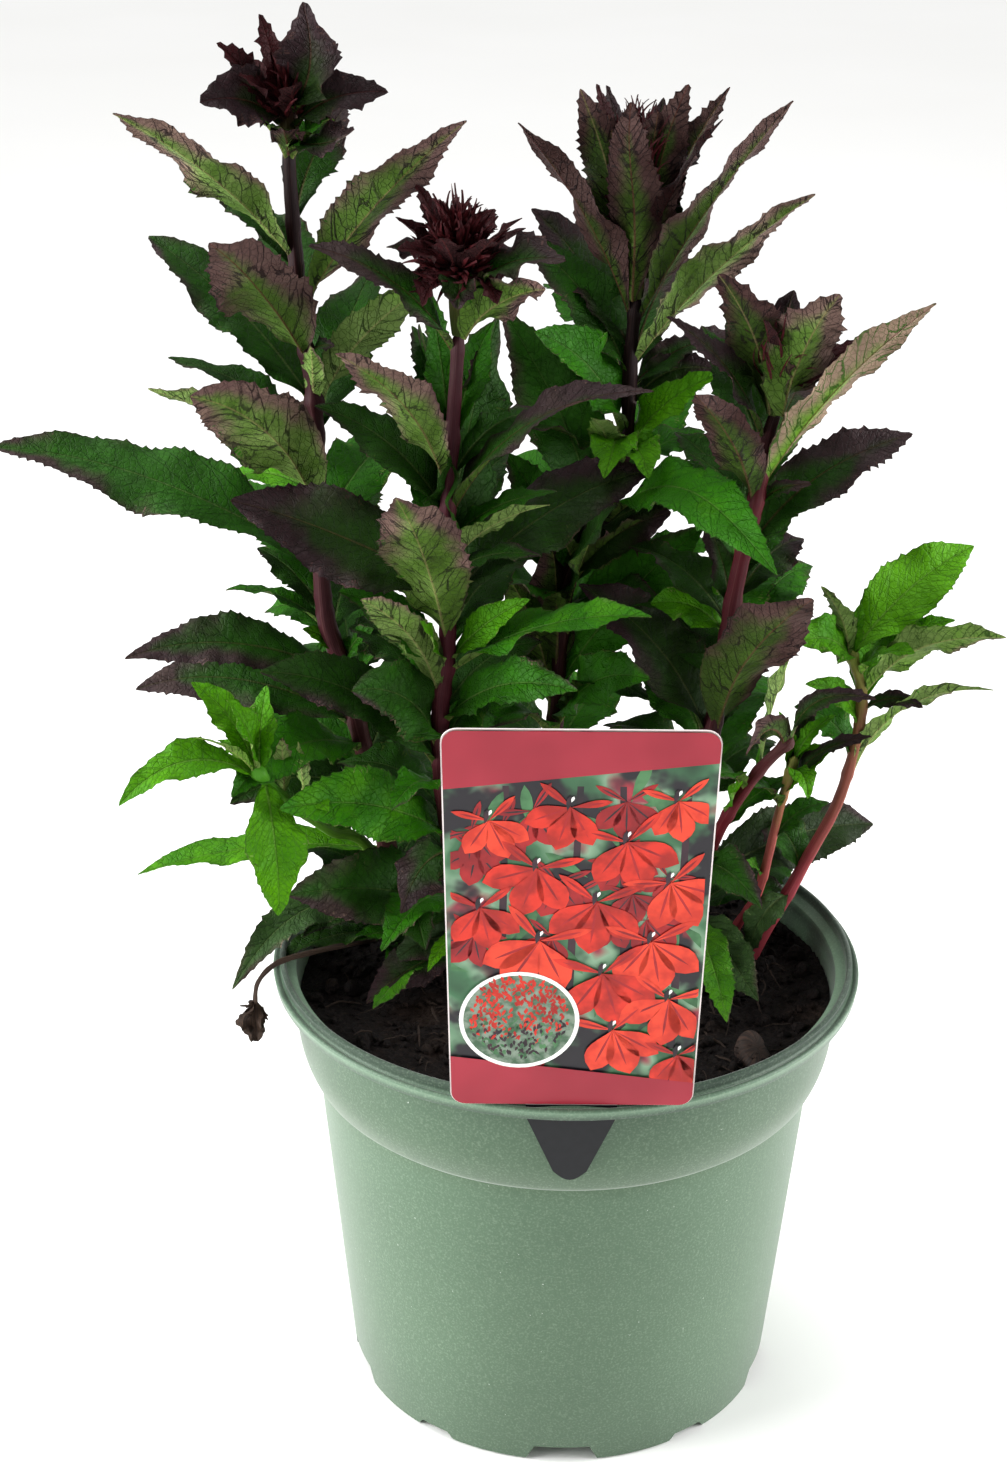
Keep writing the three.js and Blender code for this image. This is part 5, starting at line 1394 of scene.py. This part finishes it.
def bark_material(name, dark, light):
    """Dry fibre, bark and twigs: streaked along their length."""
    g = Graph(name)
    angle, along, seed = g.read("place")
    own = g.join(g.times(angle, 6.0), g.times(along, 3.0), seed)
    streak = g.noise(g.scaled(own, (4.0, 0.6, 1.0)), 1.3, 4, 0.65)
    base = g.mix(g.step(streak, 0.3, 0.72), dark, light)
    return g.surface(base, g.times_plus(streak, 0.2, 0.65), g.bump(streak, 0.0006, 0.9), 0.25)


def make_soil():
    radius = SOIL_RADIUS * np.linspace(0.001, 1, SOIL_RINGS) ** 0.8
    x, y, _ = np.moveaxis(ring_grid([(r, 0) for r in radius], SOIL_SIDES), -1, 0)
    top = stacked(x, y, soil_height(x, y))
    inwards = POT_WALL + 0.5
    wall = [(SOIL_RADIUS, SOIL_TOP - 3)] + [(r - inwards, z) for r, z in reversed(NECK)]
    wall += [(COLLAR_RADIUS - inwards, COLLAR_Z), (BASE_RADIUS - inwards, SOIL_FLOOR)]
    wall += [(BOSS_RADIUS, SOIL_FLOOR), (AXIS_GAP, SOIL_FLOOR)]
    gather = Gather()
    gather.add(np.vstack([top, ring_grid(wall, SOIL_SIDES)]), closed=True)
    place_on_root(gather.piece("compost_bed", [soil_material()]), "compost", "soil")


def on_disc(radius, rng):
    """A random point of a disc, drawn as its reach and then its turn."""
    reach = radius * math.sqrt(rng.uniform())
    turn = rng.uniform(0, FULL_TURN)
    return reach * math.cos(turn), reach * math.sin(turn)


def fibre_points(steps, rng):
    """A fibre that follows the compost's ground and lifts a little between its ends."""
    start = np.array(on_disc(SOIL_RADIUS - 7, rng))
    heading = rng.uniform(0, FULL_TURN)
    length = rng.uniform(*FIBRE_LENGTHS)
    way = heading + rng.uniform(-1.5, 1.5) * steps
    line = start + np.cumsum(stacked(np.cos(way), np.sin(way)), axis=0) * length / len(steps)
    line = line * np.minimum(1, (SOIL_RADIUS - 2) / np.linalg.norm(line, axis=1))[:, None]
    lift = rng.uniform(0, 2.2) * np.sin(math.pi * steps * rng.uniform(0.5, 1))
    return np.column_stack([line, soil_height(line[:, 0], line[:, 1]) + 0.3 + lift])


def make_crumbs(material, twig):
    """Loose crumbs, chips and fibres on the compost."""
    rng = rng_for("soil", "crumbs")
    gather = Gather()
    for number in range(CRUMB_COUNT):
        x, y = on_disc(SOIL_RADIUS - 3, rng)
        size = rng.uniform(*(CRUMB_SIZES if number % CHIP_EVERY else CHIP_SIZES))
        half = size * rng.uniform(0.6, 1.3, 3)
        z = float(soil_height(np.array(x), np.array(y))) + CRUMB_SINK * size
        gather.add(lump_grid((x, y, z), half, rng, CRUMB_ROWS, CRUMB_SIDES, 0.3), closed=True)
    place_on_root(gather.piece("compost_crumbs", [material]), "compost")
    strands = Gather()
    steps = np.linspace(0, 1, FIBRE_ROWS)
    for _ in range(FIBRE_COUNT):
        points = fibre_points(steps, rng)
        radii = rng.uniform(*FIBRE_RADII) * np.sin(math.pi * (0.08 + 0.84 * steps)) ** 0.5
        strands.add_tube(points, radii, FIBRE_SIDES, rng.uniform(0, PATTERN_REACH))
    place_on_root(strands.piece("compost_fibres", [twig]), "dry_plant")


def make_stub(material):
    """The woody root stub, with pointed fibres standing from it, each bent a little on its way."""
    rng = rng_for("stub")
    centre, half = STUB
    gather = Gather()
    lump = lump_grid(centre, half, rng, STUB_ROWS, STUB_SIDES, 0.2)
    gather.add(lump, tube_place(STUB_ROWS, STUB_SIDES, 3.0), closed=True)
    t = np.linspace(0, 1, 7)
    for _ in range(STUB_FIBRES):
        out = unit(rng.normal(size=3) + (0, 0, 0.8))
        start = np.array(centre) + out * np.array(half) * 0.8
        way = unit(out + rng.normal(size=3) * 0.5)
        length = rng.uniform(*STUB_FIBRE_LENGTHS)
        bend = rng.uniform(-0.5, 0.5)
        aside = unit(np.cross(way, rng.normal(size=3)))
        points = start + way * (length * t)[:, None] + aside * (bend * length * t ** 2)[:, None]
        radii = STUB_FIBRE_RADIUS * (1 - t) ** 0.8 + 0.03
        gather.add_tube(points, radii, FIBRE_SIDES, rng.uniform(0, PATTERN_REACH))
    place_on_root(gather.piece("root_knob", [material]), "dry_plant", "root_stub")


def make_dry_leaf(material):
    """The dead leaf: a dry stalk over the lip and a crumpled brown blade that hangs from it."""
    rng = rng_for("dry leaf")
    t = np.linspace(0, 1, DRY_STALK_ROWS)
    radii = DRY_STALK_RADIUS * (1 - 0.3 * t) * (1 + 0.12 * np.sin(31 * t) * np.cos(17 * t))
    gather = Gather()
    points = Curve(DRY_STALK).sampled(DRY_STALK_ROWS)
    gather.add_tube(points, radii, DRY_STALK_SIDES, 1.0, ribs=3, rib_depth=0.2, twist=0.05)
    (x, y, z), (half_x, half_y, half_z) = DRY_BAG
    for number in range(DRY_BLADES):
        foot = (x + 0.5 - 0.4 * number, y, z + half_z)
        tip = (x + rng.uniform(-0.5, 0.5) * half_x, y + rng.uniform(-0.4, 0.4) * half_y, z - half_z)
        add_blade(gather, foot, tip, DRY_BLADE_WIDTH, rng.uniform(-1.5, 1.5), DRY_BLADE_TURN * number,
                  (0, 0, 0), rng, NARROW_COLUMNS, DRY_BLADE_TOOTH, slots=(0, 0), fold=DRY_BLADE_FOLD,
                  wave=DRY_BLADE_WAVE)
    place_on_root(gather.piece("withered_leaf", [material]), "dry_plant", "dry_leaf")


# Plant label

def card_outline(inset):
    """The card's outline with round corners, anticlockwise from the foot's right, drawn in by inset."""
    r = CARD_CORNER - inset
    foot, top = CARD_FOOT_WIDTH / 2 - inset, CARD_TOP_WIDTH / 2 - inset
    low, high = inset - CARD_DROP, CARD_HEIGHT - inset
    centres = ((foot - r, low + r), (top - r, high - r), (r - top, high - r), (r - foot, low + r))
    points = []
    for centre, start in zip(centres, (-90, 0, 90, 180)):
        points += arc_points(centre, r, start, start + 90, 6)
    return points


def label_outline():
    """The sheet's outline, anticlockwise: the card over its tapering tongue."""
    tongue, tip = TONGUE_WIDTH / 2, TONGUE_TIP_WIDTH / 2
    end = TONGUE_ROUND - TONGUE_LENGTH
    points = card_outline(0) + [(-tongue, -CARD_DROP), (-tongue, -LIP_HEIGHT - 1)]
    for s in np.linspace(0, 1, 9):
        points.append((tip * (2 * s - 1), end - TONGUE_ROUND * math.sin(math.pi * s)))
    return points + [(tongue, -LIP_HEIGHT - 1), (tongue, -CARD_DROP)]


def kept_side(points, height, slope):
    """The part of an outline that lies above the line y = height + slope x."""
    kept = []
    for (x0, y0), (x1, y1) in zip(points, points[1:] + points[:1]):
        first, second = y0 - height - slope * x0, y1 - height - slope * x1
        if first >= 0:
            kept.append((x0, y0))
        if (first >= 0) != (second >= 0):
            share = first / (first - second)
            kept.append((x0 + (x1 - x0) * share, y0 + (y1 - y0) * share))
    return kept


def mirrored(points):
    return [(x, -y) for x, y in reversed(points)]


def on_card(x, y, out):
    """A point of the card's own plane as a point of the part. out is how far it stands off the front."""
    depth = -(SHEET / 2 + out)
    cos, sin = math.cos(LABEL_LEAN), math.sin(LABEL_LEAN)
    return (x, LABEL_Y + depth * cos - y * sin, LABEL_Z + y * cos - depth * sin)


def card_ring(bm, layer, outline, out):
    """An outline's points on the card, each with its place on the card stored."""
    verts = []
    for x, y in outline:
        vert = bm.verts.new([c * MM for c in on_card(x, y, out)])
        vert[layer] = (x, y, 0)
        verts.append(vert)
    return verts


def flat_piece(name, rings, out, materials, thickness=0.0):
    """Flat shapes on the card, each from its outline, or closed slabs where a thickness is given."""
    bm = bmesh.new()
    layer = bm.verts.layers.float_vector.new("place")
    for outline, slot in rings:
        front = card_ring(bm, layer, outline, out)
        bm.faces.new(front).material_index = slot
        if thickness:
            back = card_ring(bm, layer, outline, out - thickness)
            bm.faces.new(back[::-1])
            for i in range(len(outline)):
                bm.faces.new((front[i], front[i - 1], back[i - 1], back[i]))
    if thickness:
        bmesh.ops.recalc_face_normals(bm, faces=bm.faces)
    mesh = bpy.data.meshes.new(name)
    bm.to_mesh(mesh)
    bm.free()
    for material in materials:
        mesh.materials.append(material)
    return in_scene(name, mesh)


def card_material():
    """The sheet itself: a white edge round the print, and a dark grey tongue."""
    g = Graph("label_print")
    x, y, _ = g.read("place")
    cloud = g.noise(g.join(x, y, 0.0), 0.4, 2)
    white = g.mix(cloud, "#dccfcd", "#e8dedc")
    grey = g.mix(cloud, "#141517", "#1f2023")
    base = g.mix(g.step(y, -CARD_DROP - 0.3, -CARD_DROP), grey, white)
    normal = g.bump(g.noise(g.join(x, y, 1.0), 0.06, 2), 0.0006, 0.25)
    return g.surface(base, g.times_plus(cloud, 0.1, 0.42), normal, 0.18)


def garden_material():
    """The print's blurred garden ground: greens, near black and spots of red."""
    g = Graph("ink_garden")
    x, y, _ = g.read("place")
    cloud = g.noise(g.join(x, y, 0.0), 0.06, 2, 0.5)
    dark = g.noise(g.join(x, y, 5.0), 0.07, 3, 0.5)
    base = g.ramp(cloud, (0.3, "#23402c"), (0.45, "#3d6a48"), (0.56, "#7c9c80"), (0.64, "#8c3040"),
                  (0.75, "#b83230"))
    base = g.mix(g.step(dark, 0.46, 0.6), base, "#1d1a20")
    return g.surface(base, g.times_plus(cloud, 0.08, 0.3), None, 0.3)


def print_material(name, inner, outer, scale):
    """Ink of one colour with soft shading."""
    g = Graph(name)
    x, y, _ = g.read("place")
    cloud = g.noise(g.join(x, y, 2.0), scale, 3, 0.5)
    base = g.mix(g.step(cloud, 0.35, 0.65), inner, outer)
    return g.surface(base, g.times_plus(cloud, 0.08, 0.3), None, 0.3)


def petal_outline(cx, cy, angle, length, width, points=14):
    """A pointed petal from its foot, as an outline on the card."""
    shape = []
    cos, sin = math.cos(angle), math.sin(angle)
    for i in range(points):
        s = i / points
        t = 2 * s if s < 0.5 else 2 - 2 * s
        side = width / 2 * math.sin(math.pi * t ** 1.4) ** 0.8 * (1 if s < 0.5 else -1)
        shape.append((cx + cos * length * t - sin * side, cy + sin * length * t + cos * side))
    return shape


def inside_card(points):
    """Keeps an outline within the card's printed field."""
    limit = CARD_FOOT_WIDTH / 2 - PRINT_MARGIN
    return [(min(max(x, -limit), limit), min(max(y, 0), PRINT_TOP)) for x, y in points]


def flower_layers(cx, cy, size, turn, ink, fold, rng):
    """A lobelia flower in two layers: its five lobes, then a darker fold along each."""
    lobes, folds = [], []
    for lean, length, width in LOBES:
        angle = math.radians(lean + turn + rng.uniform(-8, 8))
        reach = size * length
        lobes.append((inside_card(petal_outline(cx, cy, angle, reach, size * width)), ink))
        folds.append((inside_card(petal_outline(cx, cy, angle, reach * 0.8, size * 0.045, 8)), fold))
    return [lobes, folds]


def stalk_layers(rng):
    low, high = STALK_SPAN
    layers = []
    for x in STALKS_X:
        lean = rng.uniform(-3, 3)
        top = x + lean
        layers.append([([(x, low), (x + STALK_FOOT, low), (top + STALK_TIP, high), (top, high)], DARK)])
    return layers


def leaf_layers(rng):
    layers = []
    for _ in range(GREEN_LAYERS):
        leaves = []
        for _ in range(GREENS_EACH):
            x, y = rng.uniform(-28, 26), rng.uniform(12, 92)
            leaves.append((inside_card(petal_outline(x, y, rng.uniform(0, 6), 13, 3)), LEAF))
        layers.append(leaves)
    return layers


def bloom_layers(rng):
    """Small dim flowers behind, and then the large ones, each with its dark tube and white anther tip."""
    layers = []
    for _ in range(DIM_FLOWERS):
        x, y = rng.uniform(-27, 27), rng.uniform(14, 92)
        layers += flower_layers(x, y, rng.uniform(8, 12), rng.uniform(-40, 40), DEEP, DARK, rng)
    for x, y, size, turn in FLOWERS:
        ink = RED if rng.uniform() < 0.6 else BRIGHT
        layers += flower_layers(x, y, size, turn, ink, DEEP, rng)
        layers.append([(petal_outline(x - 1, y - 1, math.radians(80), 4.5, 1.5, 8), DARK)])
        layers.append([(petal_outline(x, y + 1.5, math.radians(70), 1.8, 0.8, 8), WHITE)])
    return layers


def inset_layers(rng):
    """The round inset: a white rim, a field and tufts that are red in its upper part."""
    cx, cy = INSET
    layers = []
    for radius, ink in ((INSET_RIM, WHITE), (INSET_RADIUS, FIELD)):
        angles = np.linspace(0, FULL_TURN, INSET_SIDES, False)
        layers.append([([(cx + radius * math.cos(a), cy + radius * math.sin(a)) for a in angles], ink)])
    for _ in range(TUFT_LAYERS):
        tufts = []
        for _ in range(TUFTS_EACH):
            x, y = on_disc(TUFT_REACH, rng)
            x, y = cx + x, cy + y
            low_ink = LEAF if rng.uniform() < 0.4 else DARK
            ink = RED if y > cy - 3 + rng.uniform(-5, 5) else low_ink
            angle, length = rng.uniform(0.6, 2.5), rng.uniform(1.2, 2.4)
            tufts.append((petal_outline(x, y, angle, length, TUFT_WIDTH, 6), ink))
        layers.append(tufts)
    return layers


def picture_layers(rng):
    """The print from back to front: garden, stalks, leaves, flowers, crimson bands and a round inset."""
    whole = card_outline(PRINT_MARGIN)
    layers = [[(whole, GARDEN)]] + stalk_layers(rng) + leaf_layers(rng) + bloom_layers(rng)
    layers.append([(mirrored(kept_side(mirrored(whole), *LOW_BAND)), CRIMSON)])
    layers.append([(kept_side(whole, *HIGH_BAND), CRIMSON)])
    return layers + inset_layers(rng)


def make_label():
    card = flat_piece("plant_label_sheet", [(label_outline(), 0)], 0.0, [card_material()], thickness=SHEET)
    place_on_root(card, "label_print", "plant_label")
    inks = []
    for name, look in INKS.items():
        inks.append(print_material(f"ink_{name}", *look) if look else garden_material())
    bm = bmesh.new()
    for number, layer in enumerate(picture_layers(rng_for("label"))):
        sheet = flat_piece(f"print_layer_{number}", layer, INK_GAP * (number + 1), inks)
        bm.from_mesh(sheet.data)
        bpy.data.objects.remove(sheet)
    picture = flat_piece("label_picture", [], 0.0, inks)
    bm.to_mesh(picture.data)
    bm.free()
    place_on_root(picture, "label_print")


# Studio

def add_soft_box(name, place, power):
    """A round soft light that is aimed at the plant."""
    data = bpy.data.lights.new(name, "AREA")
    data.shape = "DISK"
    data.size = BOX_SIZE
    data.energy = power
    made = in_scene(name, data)
    made.location = place
    x, y, z = np.array(LIT_POINT, float) - np.array(made.location)
    made.rotation_euler = (math.atan2(math.hypot(x, y), -z), 0, math.atan2(y, x) - math.pi / 2)


def make_studio():
    """Even soft light from above for a white floor, and a soft box at each side, the left one stronger."""
    world = bpy.data.worlds.new("studio")
    world.use_nodes = True
    background = world.node_tree.nodes["Background"]
    background.inputs[0].default_value = (1, 1, 1, 1)
    background.inputs[1].default_value = WORLD_LIGHT
    bpy.context.scene.world = world
    sun = bpy.data.lights.new("sky", "SUN")
    sun.energy = SUN_STRENGTH
    sun.angle = SUN_SPREAD
    in_scene("sky", sun).rotation_euler = SUN_TILT
    add_soft_box("key", KEY_PLACE, KEY_POWER)
    add_soft_box("fill", FILL_PLACE, FILL_POWER)
    bpy.context.scene.view_settings.view_transform = "Standard"


def make_floor():
    g = Graph("floor")
    base = g.mix(g.noise(g.objects(), 3.0, 2), "#f1f1ef", "#f6f6f5")
    mesh = bpy.data.meshes.new("floor")
    mesh.from_pydata([(x * FLOOR_REACH, y * FLOOR_REACH, 0) for x, y in SQUARE], [], [(0, 1, 2, 3)])
    mesh.materials.append(g.surface(base, 0.8, None, 0.2))
    made = in_scene("floor", mesh)


def make_camera():
    data = bpy.data.cameras.new("camera")
    data.sensor_fit = "AUTO"
    data.sensor_width = SENSOR
    data.lens = FOCAL_PIXELS / PHOTO_HEIGHT * SENSOR
    data.clip_start = NEAREST_SEEN
    made = in_scene("camera", data)
    back = np.array((0, -math.cos(CAMERA_ELEVATION), math.sin(CAMERA_ELEVATION)))
    made.location = np.array(CAMERA_TARGET) + back * CAMERA_DISTANCE
    tilt = Matrix.Rotation(math.pi / 2 - CAMERA_ELEVATION, 3, "X")
    roll = Matrix.Rotation(CAMERA_ROLL, 3, tilt.col[2])
    made.rotation_euler = (roll @ tilt).to_euler()
    bpy.context.scene.camera = made


make_camera()
make_studio()
make_floor()
make_pot()
make_soil()
crumb_look = soil_material()
twig_look = bark_material("fibre", "#140d09", "#38281c")
dry_look = bark_material("dry_plant", "#18100c", "#4a3628")
make_crumbs(crumb_look, twig_look)
make_stub(bark_material("root_bark", "#0e0907", "#382820"))
make_dry_leaf(dry_look)
make_label()
leaf_looks = [leaf_upper(), leaf_under()]
bud_look = bud_material()
core_look = stem_material("receptacle", ("#3c4a1c", "#4a4a22", "#3a2018", "#2a1012"))
for stem_name, stem in STEMS.items():
    stalk = make_stem(stem_name, stem, stem_material(stem_name, STEM_COLOURS[stem_name]))
    slot_name = "stem_young" if stem_name.startswith("young") else "stem_dark"
    place_on_root(stalk, slot_name, f"stem_{stem_name}")
    place_on_root(make_small_leaves(stem_name, stem, leaf_looks), "leaf_green", f"stem_{stem_name}")
    make_leaves(stem_name, stem, leaf_looks)
for head_name, head in HEADS.items():
    made = make_head(head_name, head, [*leaf_looks, bud_look, core_look])
    place_on_root(made, "bud_maroon", f"bud_head_{head_name}")
